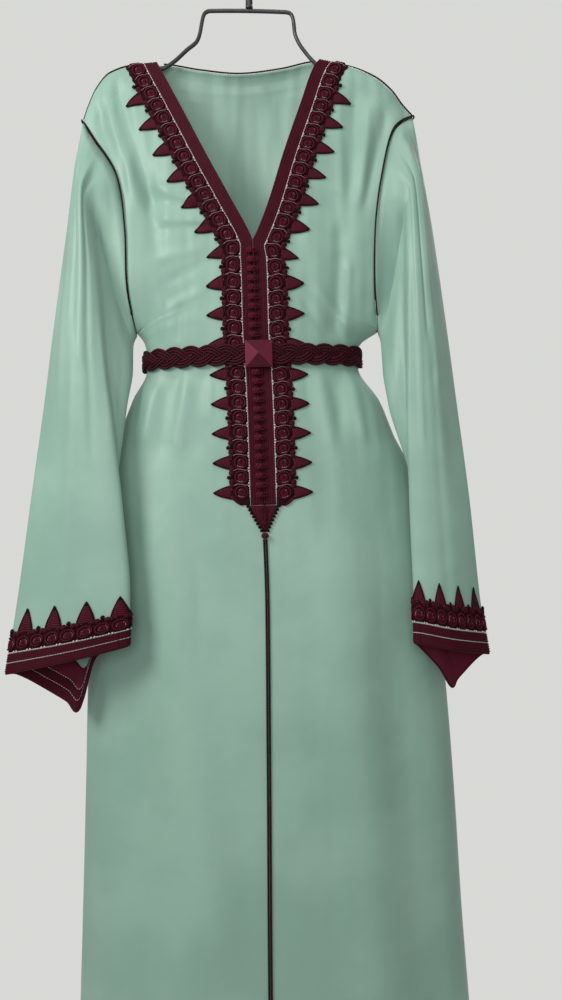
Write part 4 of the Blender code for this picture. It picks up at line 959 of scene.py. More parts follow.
class Edge:
    """Where trims go on a front: along the braid in metres, and across from the neck edge."""

    def __init__(self, side):
        self.panel = BODY_PANELS[side]
        points = self.panel.points[:, :len(NEAR_WIDTHS)]
        self.index = np.arange(len(points), dtype=float)
        base = 5
        track = np.concatenate(([0.0], np.linalg.norm(np.diff(points[:, base], axis=0), axis=1).cumsum()))
        run = unit(np.gradient(points[:, base], axis=0))
        calm = np.ones(9) / 9.0
        run = unit(np.stack([np.convolve(np.pad(run[:, axis], 4, "edge"), calm, "valid")
                             for axis in range(3)], -1))
        beside = points - points[:, base:base + 1]
        self.along = track[:, None] + np.einsum("rci,ri->rc", beside, run)
        self.along = np.maximum.accumulate(self.along + self.index[:, None] * 1e-7, 0)

    def row_of(self, along, across):
        """Row of the cloth at distances along and across."""
        col = np.clip(np.interp(across, NEAR_WIDTHS, np.arange(len(NEAR_WIDTHS))),
                      0.0, len(NEAR_WIDTHS) - 1.001)
        base = np.floor(col).astype(int)
        row = np.zeros_like(col)
        for number in np.unique(base):
            chosen = base == number
            low, high = (np.interp(along[chosen], self.along[:, number + step], self.index)
                         for step in (0, 1))
            row[chosen] = low + (high - low) * (col[chosen] - number)
        return row, col

    def along_at(self, body_row, across):
        """Distance along at a row of the body's table and a distance across."""
        row = np.interp(body_row, BODY_ROWS, self.index)
        col = np.interp(across, NEAR_WIDTHS, np.arange(len(NEAR_WIDTHS)))
        low = int(col)
        track = self.along[:, low] + (self.along[:, min(low + 1, len(NEAR_WIDTHS) - 1)]
                                      - self.along[:, low]) * (col - low)
        return float(np.interp(row, self.index, track))

    def place(self, points):
        """Flat measures bent onto the front."""
        row, col = self.row_of(points[:, 0], np.maximum(points[:, 1], 0.0))
        spot, facing = self.panel.read(row, col)
        past = np.minimum(points[:, 1], 0.0)[:, None]
        inward = unit(self.panel.read(row, col * 0.0 + 1.0)[0] - self.panel.read(row, col * 0.0)[0])
        return spot + facing * (WALL / 2 + points[:, 2:]) + inward * past


EDGES = {side: Edge(side) for side in ("left", "right")}


def ribbed_band(start, end, low, high, ribs, depth, base, step=0.0022, per_rib=6):
    """A flat braid in flat measures: ribs along it, with a closed flat underside."""
    stations = np.linspace(start, end, max(2, int((end - start) / step)))
    share = np.linspace(0.0, 1.0, ribs * per_rib + 1)
    top = base + depth * (0.35 + 0.65 * np.abs(np.sin(share * math.pi * ribs)) ** 0.7)
    top[0] = top[-1] = base + depth * 0.2
    across = np.concatenate((low + (high - low) * share, [high, low]))
    height = np.concatenate((top, [base, base]))
    wave = 0.10 * depth * np.sin(stations[:, None] * 2.0 * math.pi / BRAID_STITCH
                                 + share[None] * 2 * math.pi * ribs)
    grid = np.zeros((len(stations), len(across), 3))
    grid[..., 0] = stations[:, None]
    grid[..., 1] = across
    grid[..., 2] = height
    grid[:, :len(share), 2] += wave * (np.abs(np.sin(share * math.pi * ribs)) > 0.2)
    columns = len(across)
    turns = np.concatenate((share * ribs, [ribs + 0.2, ribs + 0.4, ribs + 0.6]))
    uv = np.stack(np.meshgrid(turns, stations, indexing="xy"), -1)
    form = quads(grid, uv, False, True)
    last = (len(stations) - 1) * columns
    return capped(form, list(range(columns)), [last + index for index in reversed(range(columns))])


def sewn(form, place):
    """A flat form bent onto cloth, with its faces kept outwards."""
    return outward(form.moved(place))


for side in ("left", "right"):
    edge = EDGES[side]
    start = edge.along_at(BRAID_TOP_ROW, BRAID_SEAM)
    end = edge.along_at(PLACKET_ROW, BRAID_SEAM)
    band = ribbed_band(start, end, 0.0, BRAID_WIDTH * 0.97, BRAID_RIBS, BRAID_DEPTH, TRIM_LIFT)
    build_form("neck_braid_of_" + side, sewn(band, edge.place), BRAID_SILK, "braid",
               "neck_braid_" + side)


# Lace: a band of crocheted discs outside the braid, worked in thin cord with pointed leaves
# along its outer edge, round lobes at their feet and a small dark picot between each two.
LEAVES = 15
FIRST_LEAF_DROP = {"left": 0.2330, "right": 0.2370}
LAST_LEAF_DROP = {"left": 0.7700, "right": 0.7715}
LACE_PITCH = 0.0400
DISC_PITCH = LACE_PITCH / 2
DISC_RADIUS = 0.0092
DISC_CORD = 0.00118
DISC_TURNS = 3.1
FIRST_DISC = -1.5
LAST_DISC = 14.0
LACE_TOP = -1.45
LACE_END = 14.42
LACE_CLOSES = 14.12
LEAF_HALF = 0.0083
LEAF_SLANT = 0.45
LOBES = ((0.225, 0.0062), (0.352, 0.0068))
PICOT = 0.0056

# How far each leaf is drawn up (negative) or down its front, by its number.
LEAF_SHIFT = table(("number", "left", "right"), [
    (-3, -0.0090, -0.0090), (0, -0.0090, -0.0095), (2, -0.0055, -0.0120), (4, -0.0015, -0.0130),
    (5, -0.0010, -0.0135), (6, -0.0055, -0.0165), (7, -0.0050, -0.0135), (8, -0.0020, -0.0095),
    (9, 0.0020, -0.0045), (11, 0.0030, -0.0005), (14, 0.0005, 0.0), (17, 0.0, 0.0)])
LACE_SILK = silk("burgundy_lace_cord", (0.125, 0.0100, 0.0260, 1.0), (0.026, 0.0024, 0.0058, 1.0),
                 1.0, 0.0021, 1.0, 0.55)
ground_dye = Dye("lace_ground", roughness=0.8, specular_ior_level=0.08)
ground_fuzz = ground_dye.noise(1100.0, 2.0, 0.6)
LACE_GROUND = ground_dye.finish(
    base_color=ground_dye.blend(ground_fuzz.over(0.3, 0.8), (0.010, 0.0014, 0.0028, 1.0),
                                (0.046, 0.0045, 0.0110, 1.0)),
    normal=ground_dye.relief(ground_fuzz, 0.0003, 0.8))
PICOT_SILK = silk("dark_picot_thread", (0.020, 0.0030, 0.0060, 1.0), (0.006, 0.0014, 0.0022, 1.0),
                  4.0, 0.0030, 0.0, 0.5)


def rope(path, radius, sides=6, closed=False, up=(0.0, 0.0, 1.0), squash=1.0):
    """A round cord along a path; up is a direction, or one for each point, it is flattened in."""
    path = np.asarray(path, float)
    radius = np.broadcast_to(np.asarray(radius, float), (len(path),))
    ring = np.concatenate((path[-1:], path, path[:1])) if closed else path
    run = unit(np.gradient(ring, axis=0))
    run = run[1:-1] if closed else run
    side = unit(np.cross(run, np.broadcast_to(np.asarray(up, float), path.shape)))
    top = np.cross(side, run)
    turn = np.arange(sides) * 2.0 * math.pi / sides
    grid = (path[:, None] + radius[:, None, None] * (side[:, None] * np.cos(turn)[None, :, None]
            + top[:, None] * np.sin(turn)[None, :, None] * squash))
    length = np.concatenate(([0.0], np.linalg.norm(np.diff(path, axis=0), axis=1).cumsum()))
    if closed:
        length = np.append(length, length[-1] + np.linalg.norm(path[0] - path[-1]))
    uv = np.stack(np.meshgrid(length, np.arange(sides + 1) / sides, indexing="ij"), -1)[..., ::-1]
    form = quads(grid, uv, closed, True)
    if not closed:
        last = (len(path) - 1) * sides
        form = capped(form, list(range(sides)), [last + index for index in reversed(range(sides))])
    return outward(form)


def bead(centre, size, segments=8, rings=5):
    """A small round ball, flattened where its size says so."""
    lift = np.linspace(-math.pi / 2, math.pi / 2, rings + 1)[1:-1]
    turn = np.arange(segments) * 2.0 * math.pi / segments
    grid = np.stack([np.stack((np.cos(a) * np.cos(turn), np.cos(a) * np.sin(turn),
                               np.full(segments, np.sin(a))), -1) for a in lift])
    uv = np.stack(np.meshgrid(np.arange(rings - 1) / rings, np.arange(segments + 1) / segments,
                              indexing="ij"), -1)
    form = quads(grid, uv, False, True)
    last = (rings - 2) * segments
    form = capped(form, list(range(segments)), [last + index for index in reversed(range(segments))])
    form.points = form.points * (np.asarray(size, float) / 2) + np.asarray(centre, float)
    return outward(form)


def disc(radius, cord_radius, turns, base):
    """A crocheted disc: a cord wound from the middle outwards, ringed by a thicker round."""
    steps = int(turns * 18)
    turn = np.linspace(0.0, turns * 2.0 * math.pi, steps)
    reach = np.linspace(cord_radius * 1.4, radius - cord_radius * 3.2, steps)
    spiral = np.stack((reach * np.cos(turn), reach * np.sin(turn),
                       np.full(steps, base + cord_radius)), -1)
    ring_turn = np.arange(26) * 2.0 * math.pi / 26
    wave = 1.0 + 0.035 * np.cos(ring_turn * 13.0)
    ring = np.stack(((radius - cord_radius) * wave * np.cos(ring_turn),
                     (radius - cord_radius) * wave * np.sin(ring_turn),
                     np.full(26, base + cord_radius * 1.15)), -1)
    forms = [rope(spiral, cord_radius * 0.92, 5), rope(ring, cord_radius * 1.15, 6, True),
             bead((0.0, 0.0, base + cord_radius), (cord_radius * 2.4,) * 3, 6, 4)]
    return joined(forms)


def leaf(length, half_width, base):
    """A padded pointed leaf: a domed body over its flat back, edged with a fine cord."""
    rows, columns = 15, 9
    t = np.linspace(0.0, 1.0, rows)
    width = half_width * (1.0 - t) ** 0.80 * (1.0 + 0.10 * np.sin(math.pi * t)) + 0.0007
    side = np.linspace(-1.0, 1.0, columns)
    grid = np.zeros((rows, columns * 2 - 2, 3))
    dome = np.sqrt(np.maximum(0.0, 1.0 - side ** 2))
    crown = 0.0011 + 0.0009 * (1.0 - np.abs(2.0 * t - 0.9)) * (1.0 - t * 0.3)
    grid[:, :columns, 0] = side[None] * width[:, None]
    grid[:, :columns, 1] = (t * length)[:, None] - 0.0016 * (1.0 - t)[:, None] * (1 - side[None] ** 2)
    grid[:, :columns, 2] = base + crown[:, None] * dome[None]
    grid[:, columns:, 0] = side[None, -2:0:-1] * width[:, None]
    grid[:, columns:, 1] = (t * length)[:, None]
    grid[:, columns:, 2] = base - 0.0002
    turns = np.concatenate((side, side[-2:0:-1], [-1.0]))
    uv = np.stack(np.meshgrid(turns, t * length, indexing="xy"), -1)
    form = quads(grid, uv, False, True)
    count = columns * 2 - 2
    last = (rows - 1) * count
    body = outward(capped(form, list(range(count)),
                          [last + index for index in reversed(range(count))]))
    path_side = np.concatenate((-width, width[::-1]))
    path_out = np.concatenate((t * length, t[::-1] * length))
    border = rope(np.stack((path_side, path_out, np.full(rows * 2, base + 0.0006)), -1), 0.00075, 5)
    tip = bead((0.0, length - 0.0008, base + 0.0010), (0.0036, 0.0048, 0.0028), 8, 5)
    return body, joined([border, tip])


class Pattern:
    """A Geometry Nodes tree with named inputs, for what is worked in repeats."""

    def __init__(self, name, **inputs):
        self.tree = bpy.data.node_groups.new(name, "GeometryNodeTree")
        self.tree.interface.new_socket("Geometry", in_out="OUTPUT", socket_type="NodeSocketGeometry")
        self.tree.interface.new_socket("Geometry", in_out="INPUT", socket_type="NodeSocketGeometry")
        self.marks = {}
        for label, kind in inputs.items():
            made = self.tree.interface.new_socket(label, in_out="INPUT", socket_type="NodeSocket" + kind)
            self.marks[label] = made.identifier
        self.way_in = self.tree.nodes.new("NodeGroupInput")
        self.way_out = self.tree.nodes.new("NodeGroupOutput")

    def node(self, kind, settings=None, sockets=None, output=0):
        """Adds a node: its settings first, then its sockets' values or links."""
        made = self.tree.nodes.new(kind)
        for name, value in (settings or {}).items():
            setattr(made, name, value)
        for name, value in (sockets or {}).items():
            if isinstance(value, bpy.types.NodeSocket):
                self.tree.links.new(value, made.inputs[name])
            else:
                made.inputs[name].default_value = value
        return made.outputs[output]

    def given(self, label):
        """The socket of one of the tree's own inputs."""
        return self.way_in.outputs[label]

    def end(self, geometry, material):
        """Ends the tree in real geometry with its material."""
        real = self.node("GeometryNodeRealizeInstances", {}, {0: geometry})
        set_material = self.node("GeometryNodeSetMaterial", {}, {0: real, "Material": material})
        self.tree.links.new(set_material, self.way_out.inputs[0])

    def worked(self, carrier, **values):
        """The carrier after this tree has worked on it, as a form; the carrier is then removed."""
        modifier = carrier.modifiers.new("pattern", "NODES")
        modifier.node_group = self.tree
        for label, value in values.items():
            modifier[self.marks[label]] = value
        depsgraph = bpy.context.evaluated_depsgraph_get()
        mesh = bpy.data.meshes.new_from_object(carrier.evaluated_get(depsgraph), depsgraph=depsgraph)
        form = form_of(mesh)
        bpy.data.meshes.remove(mesh)
        bpy.data.objects.remove(carrier, do_unlink=True)
        return form


def form_of(mesh):
    """A mesh read back as a form."""
    points = np.zeros(len(mesh.vertices) * 3, np.float32)
    mesh.vertices.foreach_get("co", points)
    corners = np.zeros(len(mesh.loops), np.int32)
    mesh.loops.foreach_get("vertex_index", corners)
    sizes = np.zeros(len(mesh.polygons), np.int32)
    mesh.polygons.foreach_get("loop_total", sizes)
    uvs = np.zeros(len(mesh.loops) * 2, np.float32)
    layer = mesh.uv_layers.get("threads")
    if layer:
        layer.data.foreach_get("uv", uvs)
    return Form(points, sizes, corners, uvs)


def template(name, form):
    """A form as a hidden object that a pattern repeats."""
    mesh = bpy.data.meshes.new(name)
    starts = form.sizes.cumsum() - form.sizes
    faces = [form.corners[start:start + size].tolist() for start, size in zip(starts, form.sizes)]
    mesh.from_pydata(form.points.tolist(), [], faces)
    mesh.uv_layers.new(name="threads").data.foreach_set("uv", form.uvs.astype(np.float32).ravel())
    return bpy.data.objects.new(name, mesh)


row_of_repeats = Pattern("row_of_repeats", Piece="Object", Count="Int", Pitch="Float", Start="Float",
                         Material="Material")
line_start = row_of_repeats.node("ShaderNodeCombineXYZ", {}, {"X": row_of_repeats.given("Start")})
line_step = row_of_repeats.node("ShaderNodeCombineXYZ", {}, {"X": row_of_repeats.given("Pitch")})
line_points = row_of_repeats.node("GeometryNodeMeshLine", {}, {
    "Count": row_of_repeats.given("Count"), "Start Location": line_start, "Offset": line_step})
line_piece = row_of_repeats.node("GeometryNodeObjectInfo", {}, {"Object": row_of_repeats.given("Piece")},
                                 "Geometry")
line_repeats = row_of_repeats.node("GeometryNodeInstanceOnPoints", {}, {
    "Points": line_points, "Instance": line_piece})
row_of_repeats.end(line_repeats, row_of_repeats.given("Material"))


def repeated(form, count, pitch, start, material):
    """A flat form repeated along a line by the pattern, read back as a form."""
    piece = template("repeat", form)
    scene.collection.objects.link(piece)
    carrier = bpy.data.objects.new("carrier", bpy.data.meshes.new("carrier"))
    scene.collection.objects.link(carrier)
    made = row_of_repeats.worked(carrier, Piece=piece, Count=count, Pitch=pitch, Start=start,
                                 Material=material)
    bpy.data.objects.remove(piece, do_unlink=True)
    return made


def shifted(form, *by):
    """A form moved by (along, across, height)."""
    return Form(form.points + np.asarray(by, float), form.sizes, form.corners, form.uvs)


def lobe(away, size, foot, base):
    """A round lobe at a leaf's foot, with a thin cord around it."""
    turn = np.arange(12) * 2.0 * math.pi / 12
    ring = np.stack((away + size * 0.5 * np.cos(turn), foot + size * 0.5 * np.sin(turn),
                     np.full(12, base + 0.0010)), -1)
    return [bead((away, foot, base + 0.0010), (size, size, 0.0040), 10, 6), rope(ring, 0.0006, 5, True)]


def lace_band(first, last, leaves, low, closed=False, leaf_length=LEAF_LENGTH, leaf_half=LEAF_HALF):
    """A lace band in flat measures with leaf 0 at 0: its corded discs, leaves and dark picots."""
    base = TRIM_LIFT + 0.0004
    high = low + LACE_WIDTH
    count = int(round((last - first) / DISC_PITCH)) + (0 if closed else 1)
    one = shifted(disc(DISC_RADIUS, DISC_CORD, DISC_TURNS, base), 0.0, low + 0.0018 + DISC_RADIUS, 0.0)
    discs = repeated(one, count, DISC_PITCH, first, LACE_SILK)
    body, border = (shifted(part, 0.0, high - 0.0012, 0.0)
                    for part in leaf(leaf_length, leaf_half, base))
    bodies = repeated(body, leaves, LACE_PITCH, 0.0, LACE_SILK)
    borders = repeated(border, leaves, LACE_PITCH, 0.0, PICOT_SILK)
    one = joined([part for away, size in LOBES for hand in (-1.0, 1.0)
                  for part in lobe(hand * away * LACE_PITCH, size, high - 0.0034, base)])
    lobes = repeated(one, leaves, LACE_PITCH, 0.0, LACE_SILK)
    stem = rope([(0.0, high - 0.0070, base + 0.0008), (0.0, high - 0.0010, base + 0.0008)], 0.0013, 6)
    ball = bead((0.0, high + 0.0004, base + 0.0012), (PICOT, PICOT, 0.0036), 10, 6)
    picots = repeated(joined([stem, ball]), leaves, LACE_PITCH, -LACE_PITCH / 2, PICOT_SILK)
    return {"cord": joined([discs, bodies, lobes]), "dark": joined([borders, picots])}


def ground_band(first, last, low, high, base, scallop, step=0.0016):
    """The thin worked ground under the discs, scalloped between its leaves."""
    stations = np.arange(first, last + step / 2, step)
    share = np.linspace(0.0, 1.0, 8)
    phase = stations / LACE_PITCH
    reach = high - scallop * (0.5 - 0.5 * np.cos(2.0 * math.pi * phase * 4.0))
    across = low + (reach - low)[:, None] * share[None]
    top = np.stack((np.repeat(stations[:, None], 8, 1), across, np.full(across.shape, base + 0.0006)), -1)
    under = top.copy()[:, ::-1]
    under[..., 2] = base
    grid = np.concatenate((top, under), 1)
    uv = np.stack(np.meshgrid(np.arange(17) / 16.0, stations, indexing="xy"), -1)
    form = quads(grid, uv, False, True)
    last_ring = (len(stations) - 1) * 16
    return capped(form, list(range(16)), [last_ring + index for index in reversed(range(16))])


def lace_place(side):
    """Maps lace worked flat, with leaf 0 at 0, onto a front, each leaf to its own place."""
    edge = EDGES[side]
    foot = BRAID_WIDTH + LACE_WIDTH
    rows = np.interp([FIRST_LEAF_DROP[side], LAST_LEAF_DROP[side]],
                     -BODY_PANELS[side].points[:, 15, 2], edge.index)
    line = BODY_PANELS[side].points[:, 15]
    track = np.concatenate(([0.0], np.linalg.norm(np.diff(line, axis=0), axis=1).cumsum()))
    ends = np.interp(rows, edge.index, track)
    numbers = np.arange(-3, LEAVES + 3)
    spots = ends[0] + (ends[1] - ends[0]) * numbers / (LEAVES - 1)
    body_rows = np.interp(np.interp(spots, track, edge.index), edge.index, BODY_ROWS)
    tips = np.array([edge.along_at(row, TRIM_REACH) for row in body_rows])
    feet = np.array([edge.along_at(row, foot) for row in body_rows])
    middles = tips + LEAF_SLANT * (feet - tips)
    shift = smooth(LEAF_SHIFT["number"], LEAF_SHIFT[side], numbers)
    tips = tips + shift
    middles = middles + shift * 0.8
    for spots_list in (tips, middles):
        for index in (1, 0):
            spots_list[index] = 2 * spots_list[index + 1] - spots_list[index + 2]

    def place(points):
        number = points[:, 0] / LACE_PITCH
        out = np.clip((points[:, 1] - foot) / LEAF_LENGTH, 0.0, 1.0)
        along = (np.interp(number, numbers, middles) * (1.0 - out)
                 + np.interp(number, numbers, tips) * out)
        close = np.clip((number - LACE_CLOSES) / 0.36, 0.0, 1.0) ** 1.4
        across = points[:, 1] - np.maximum(points[:, 1] - BRAID_WIDTH, 0.0) * 0.62 * close
        return edge.place(np.stack((along, across, points[:, 2]), -1))

    return place


for side in ("left", "right"):
    place = lace_place(side)
    flat = lace_band(FIRST_DISC * LACE_PITCH, LAST_DISC * LACE_PITCH, LEAVES, BRAID_WIDTH)
    ground = ground_band(LACE_TOP * LACE_PITCH, LACE_END * LACE_PITCH, BRAID_WIDTH + 0.0006,
                         BRAID_WIDTH + LACE_WIDTH - 0.0016, TRIM_LIFT, 0.0014)
    build_form("lace_cordwork_" + side, sewn(flat["cord"], place), LACE_SILK, "lace", "lace_" + side)
    build_form("lace_picots_" + side, sewn(flat["dark"], place), PICOT_SILK, "lace", "lace_" + side)
    build_form("lace_ground_" + side, sewn(ground, place), LACE_GROUND, "lace", "lace_" + side)


# Light line: a row of pale pink silk stitches that holds the lace's edge down beside the braid,
# and fine pale threads that run from it out between the discs.
STITCH = 0.0034
STITCH_THREAD = 0.0013
NET_JOIN = 0.00015
NET_ARC = 0.00013
stitch_dye = Dye("pale_pink_stitching", roughness=0.6, sheen_weight=0.3)
STITCH_SILK = stitch_dye.finish(base_color=stitch_dye.blend(
    stitch_dye.noise(700.0), (0.50, 0.36, 0.37, 1.0), (0.84, 0.70, 0.69, 1.0)))


def stitched_line(length, across, height, size=STITCH_THREAD):
    """A row of short stitches in flat measures, from 0 to a length along."""
    one = bead((0.0, across, height), (STITCH * 0.94, size, size * 0.9), 5, 4)
    return repeated(one, int(length / STITCH), STITCH, STITCH / 2, STITCH_SILK)


def pale_net(first, last, low, between=True):
    """Pale arcs on the discs and cusps at the line, with threads between the discs if wanted."""
    height = TRIM_LIFT + 0.0022
    parts = []
    if between:
        path = [(0.0, low + 0.0006, height), (0.0010, low + 0.0050, height),
                (-0.0004, low + 0.0100, height + 0.0004), (-0.0012, low + 0.0160, height),
                (0.0008, low + 0.0215, height)]
        parts.append(rope(path, NET_JOIN, 4))
    for reach, start, end in ((0.0062, -0.4, 0.9), (0.0038, 2.2, 3.6)):
        turn = np.linspace(start, end, 6)
        arc = np.stack((LACE_PITCH / 4 + reach * np.cos(turn), low + 0.0110 + reach * np.sin(turn),
                        np.full(6, height + 0.0002)), -1)
        parts.append(rope(arc, NET_ARC, 4))
    parts += [bead((away, low + 0.0010, height - 0.0006), (0.0024, 0.0022, 0.0014), 5, 4)
              for away in (-0.0020, 0.0020)]
    return repeated(joined(parts), int(round((last - first) / DISC_PITCH)), DISC_PITCH,
                    first + LACE_PITCH / 4, STITCH_SILK)


for side in ("left", "right"):
    net = pale_net(FIRST_DISC * LACE_PITCH, LAST_DISC * LACE_PITCH, BRAID_WIDTH)
    build_form("pale_net_" + side, sewn(net, lace_place(side)), STITCH_SILK, "lace", "lace_" + side)
    edge = EDGES[side]
    start = edge.along_at(0.25, BRAID_WIDTH)
    end = edge.along_at(PLACKET_ROW - 0.12, BRAID_WIDTH)
    line = stitched_line(end - start, BRAID_WIDTH + 0.0002, TRIM_LIFT + 0.0008)
    line = shifted(line, start, 0.0, 0.0)
    build_form("light_line_" + side, sewn(line, edge.place), STITCH_SILK, "lace", "lace_" + side)


# Knot buttons: small round turk's-head knots of burgundy cord in one close row, each held by a
# short loop from the braid beside it. None is tied where the belt covers the placket.
BUTTON_WIDTH = 0.0112
BUTTON_HEIGHT = 0.0108
BUTTON_DEPTH = 0.0070
BUTTON_PITCH = 0.0126
BUTTON_SHIFT = 0.0042
BUTTON_TOP = 0.4459
BUTTON_PLACES = 27
BELT_COVERS = 0.0231
BUTTON_CORD = 0.00120
LOOP_CORD = 0.00105
KNOT_SILK = silk("burgundy_knot_cord", (0.150, 0.0130, 0.0330, 1.0), (0.046, 0.0040, 0.0100, 1.0),
                 1.0, 0.0017, 1.0, 0.42)


def middle_point(drop, out):
    """A point on the middle line of the front, moved out from the cloth."""
    row = smooth(BODY["drop"], BODY["row"], drop)
    return np.array([float(smooth(MIDDLE["drop"], MIDDLE["x"], drop)),
                     float(body_column("front", row)) - out, -drop])


def turks_head(width, depth, height):
    """A round knot of one cord laid over and under itself, on a solid core."""
    t = np.arange(110) * 2.0 * math.pi / 110
    lift = math.radians(62.0) * np.sin(5.0 * t)
    turn = 3.0 * t
    weave = 0.88 + 0.075 * np.cos(10.0 * t)
    path = np.stack((weave * np.cos(lift) * np.cos(turn), weave * np.cos(lift) * np.sin(turn),
                     weave * np.sin(lift)), -1)
    size = np.array([width, depth, height]) / 2
    cord = rope(path * (size - 0.0010), BUTTON_CORD, 5, True, path)
    core = bead((0.0, 0.0, 0.0), (width * 0.84, depth * 0.84, height * 0.84), 8, 6)
    return joined([cord, core])


knots_at_points = Pattern("knots_at_points", Piece="Object", Material="Material")
knot_points = knots_at_points.node("GeometryNodeMeshToPoints", {},
                                   {0: knots_at_points.way_in.outputs[0]})
knot_piece = knots_at_points.node("GeometryNodeObjectInfo", {},
                                  {"Object": knots_at_points.given("Piece")}, "Geometry")
knots_at_points.end(knots_at_points.node("GeometryNodeInstanceOnPoints", {}, {
    "Points": knot_points, "Instance": knot_piece}), knots_at_points.given("Material"))


def at_points(form, spots, material):
    """A form set at each of the spots by the pattern."""
    piece = template("knot", form)
    scene.collection.objects.link(piece)
    mesh = bpy.data.meshes.new("spots")
    mesh.from_pydata([tuple(spot) for spot in spots], [], [])
    carrier = bpy.data.objects.new("spots", mesh)
    scene.collection.objects.link(carrier)
    made = knots_at_points.worked(carrier, Piece=piece, Material=material)
    bpy.data.objects.remove(piece, do_unlink=True)
    return made


button_out = WALL / 2 + 0.0007 + 0.0012 + 0.0006 + BUTTON_DEPTH / 2
button_spots = []
for number in range(BUTTON_PLACES):
    drop = BUTTON_TOP + number * BUTTON_PITCH
    if abs(drop - BELT_DROP) > BELT_COVERS:
        button_spots.append(middle_point(drop, button_out) - (BUTTON_SHIFT, 0.0, 0.0))
knot = turks_head(BUTTON_WIDTH * 1.06, BUTTON_DEPTH, BUTTON_HEIGHT)
buttons = at_points(knot, button_spots, KNOT_SILK)
build_form("knot_buttons", outward(buttons), KNOT_SILK, "cord",
           *["button_%02d" % (number + 1) for number in range(len(button_spots))])
loop_path = [(0.0, 0.0, 0.0016), (0.0050, -0.0004, 0.0022), (0.0084, 0.0020, 0.0018),
             (0.0092, 0.0024, 0.0), (0.0084, 0.0020, -0.0018), (0.0050, -0.0004, -0.0022),
             (0.0, 0.0, -0.0016)]
loops = at_points(rope(loop_path, LOOP_CORD, 6, False, (0.0, 1.0, 0.0)), button_spots, KNOT_SILK)
build_form("button_loops", outward(loops), KNOT_SILK, "cord", "button_01")


# Placket point: the braid's own end, drawn in to a point below the last button. Small round
# knots edge it, three coils of lace cord lie on it, and a larger knot closes it where the
# front cords begin.
PLACKET_TOP = 0.7876
PLACKET_TIP = 0.8225
POINT_HALF = (0.0205, 0.0022)
POINT_RIBS = 3.5
EDGE_KNOT_REACH = (0.0212, 0.0032)
EDGE_KNOT_SIZE = (0.0047, 0.0036, 0.0046)
COILS = ((0.7935, 0.0058), (0.8032, 0.0044), (0.8105, 0.0030))
COIL_CORD = 0.00085
END_KNOT_DROP = 0.8275
END_KNOT_SIZE = (0.0100, 0.0086, 0.0096)

rows, columns = 14, 25
share = np.linspace(0.0, 1.0, rows)[:, None]
side_way = np.linspace(-1.0, 1.0, columns)[None]
across = side_way * (POINT_HALF[0] * (1.0 - share) + POINT_HALF[1] * share)
level = np.zeros_like(across)
ribs = np.abs(np.sin(side_way * math.pi * POINT_RIBS)) ** 0.7
raised = 0.0004 + 0.0011 * ribs * (1.0 - side_way ** 8) + level
point_base = np.array([middle_point(drop, WALL / 2 + 0.0009)
                       for drop in PLACKET_TOP + (PLACKET_TIP - PLACKET_TOP) * share[:, 0]])
top = point_base[:, None] + np.stack((across, -raised, level), -1)
under = point_base[:, None] + np.stack((across, level + 0.0003, level), -1)
grid = np.concatenate((top, under[:, ::-1]), 1)
turns = np.concatenate((side_way[0] * POINT_RIBS, [4.0] * (columns + 1)))
point_uv = np.stack(np.meshgrid(turns, share[:, 0] * 0.034, indexing="xy"), -1)
point_form = quads(grid, point_uv, False, True)
count = columns * 2
point_form = capped(point_form, list(range(count)),
                    [(rows - 1) * count + index for index in reversed(range(count))])
build_form("placket_point_braid", outward(point_form), BRAID_SILK, "braid", "placket_point")
edge_spots = []
for hand in (-1.0, 1.0):
    for part in np.linspace(0.03, 0.95, 8):
        spot = middle_point(PLACKET_TOP + (PLACKET_TIP - PLACKET_TOP) * part, WALL / 2 + 0.0024)
        reach = EDGE_KNOT_REACH[0] * (1.0 - part) + EDGE_KNOT_REACH[1] * part
        edge_spots.append(spot + (hand * reach, 0.0, 0.0))
edge_knots = at_points(bead((0.0, 0.0, 0.0), EDGE_KNOT_SIZE, 8, 6), edge_spots, PICOT_SILK)
build_form("placket_edge_knots", outward(edge_knots), PICOT_SILK, "braid", "placket_point")
coils = []
for drop, reach in COILS:
    turn = np.linspace(0.0, 5.0 * math.pi, 56)
    radius = reach * (1.0 - 0.85 * turn / turn[-1])
    coil_path = np.stack((np.sin(turn) * radius, 0.0 * turn, np.cos(turn) * radius), -1)
    coil_path = coil_path + middle_point(drop, WALL / 2 + 0.0033)
    coils.append(rope(coil_path, COIL_CORD, 5, False, (0.0, 1.0, 0.0)))
build_form("placket_point_coils", outward(joined(coils)), LACE_SILK, "braid", "placket_point")
end_knot = turks_head(*END_KNOT_SIZE)
end_knot.points = end_knot.points + middle_point(END_KNOT_DROP, WALL / 2 + 0.0003 + 0.0045)
build_form("placket_end_knot", outward(end_knot), KNOT_SILK, "cord", "placket_knot")


# Front cords and piping: twisted burgundy cord, two of them side by side down the middle seam
# to the hem, and one in each shoulder and armhole seam and along the back of the neck.
CORD_RADIUS = 0.0015
CORD_PITCH = 0.0052
CORD_DROPS = (0.8325, 1.6435)
PIPING_RADIUS = 0.0013
PIPING_PITCH = 0.0046
PIPING_OUT = WALL / 2 + 0.0010 + PIPING_RADIUS
ARMHOLE_PIPING_ROWS = (12.7, -11.0)
BACK_NECK_ENDS = (-0.126, 0.092)
CORD_SILK = silk("dark_burgundy_cord", (0.050, 0.0105, 0.0150, 1.0), (0.012, 0.0032, 0.0046, 1.0),
                 2.0, 0.0040, 1.0, 0.5)


def evenly(path, step):
    """A path through the same line with points one step apart."""
    path = np.asarray(path, float)
    track = np.concatenate(([0.0], np.linalg.norm(np.diff(path, axis=0), axis=1).cumsum()))
    count = max(4, int(track[-1] / step))
    even = np.linspace(0.0, track[-1], count)
    return np.stack([smooth(track, path[:, axis], even) for axis in range(3)], -1), even


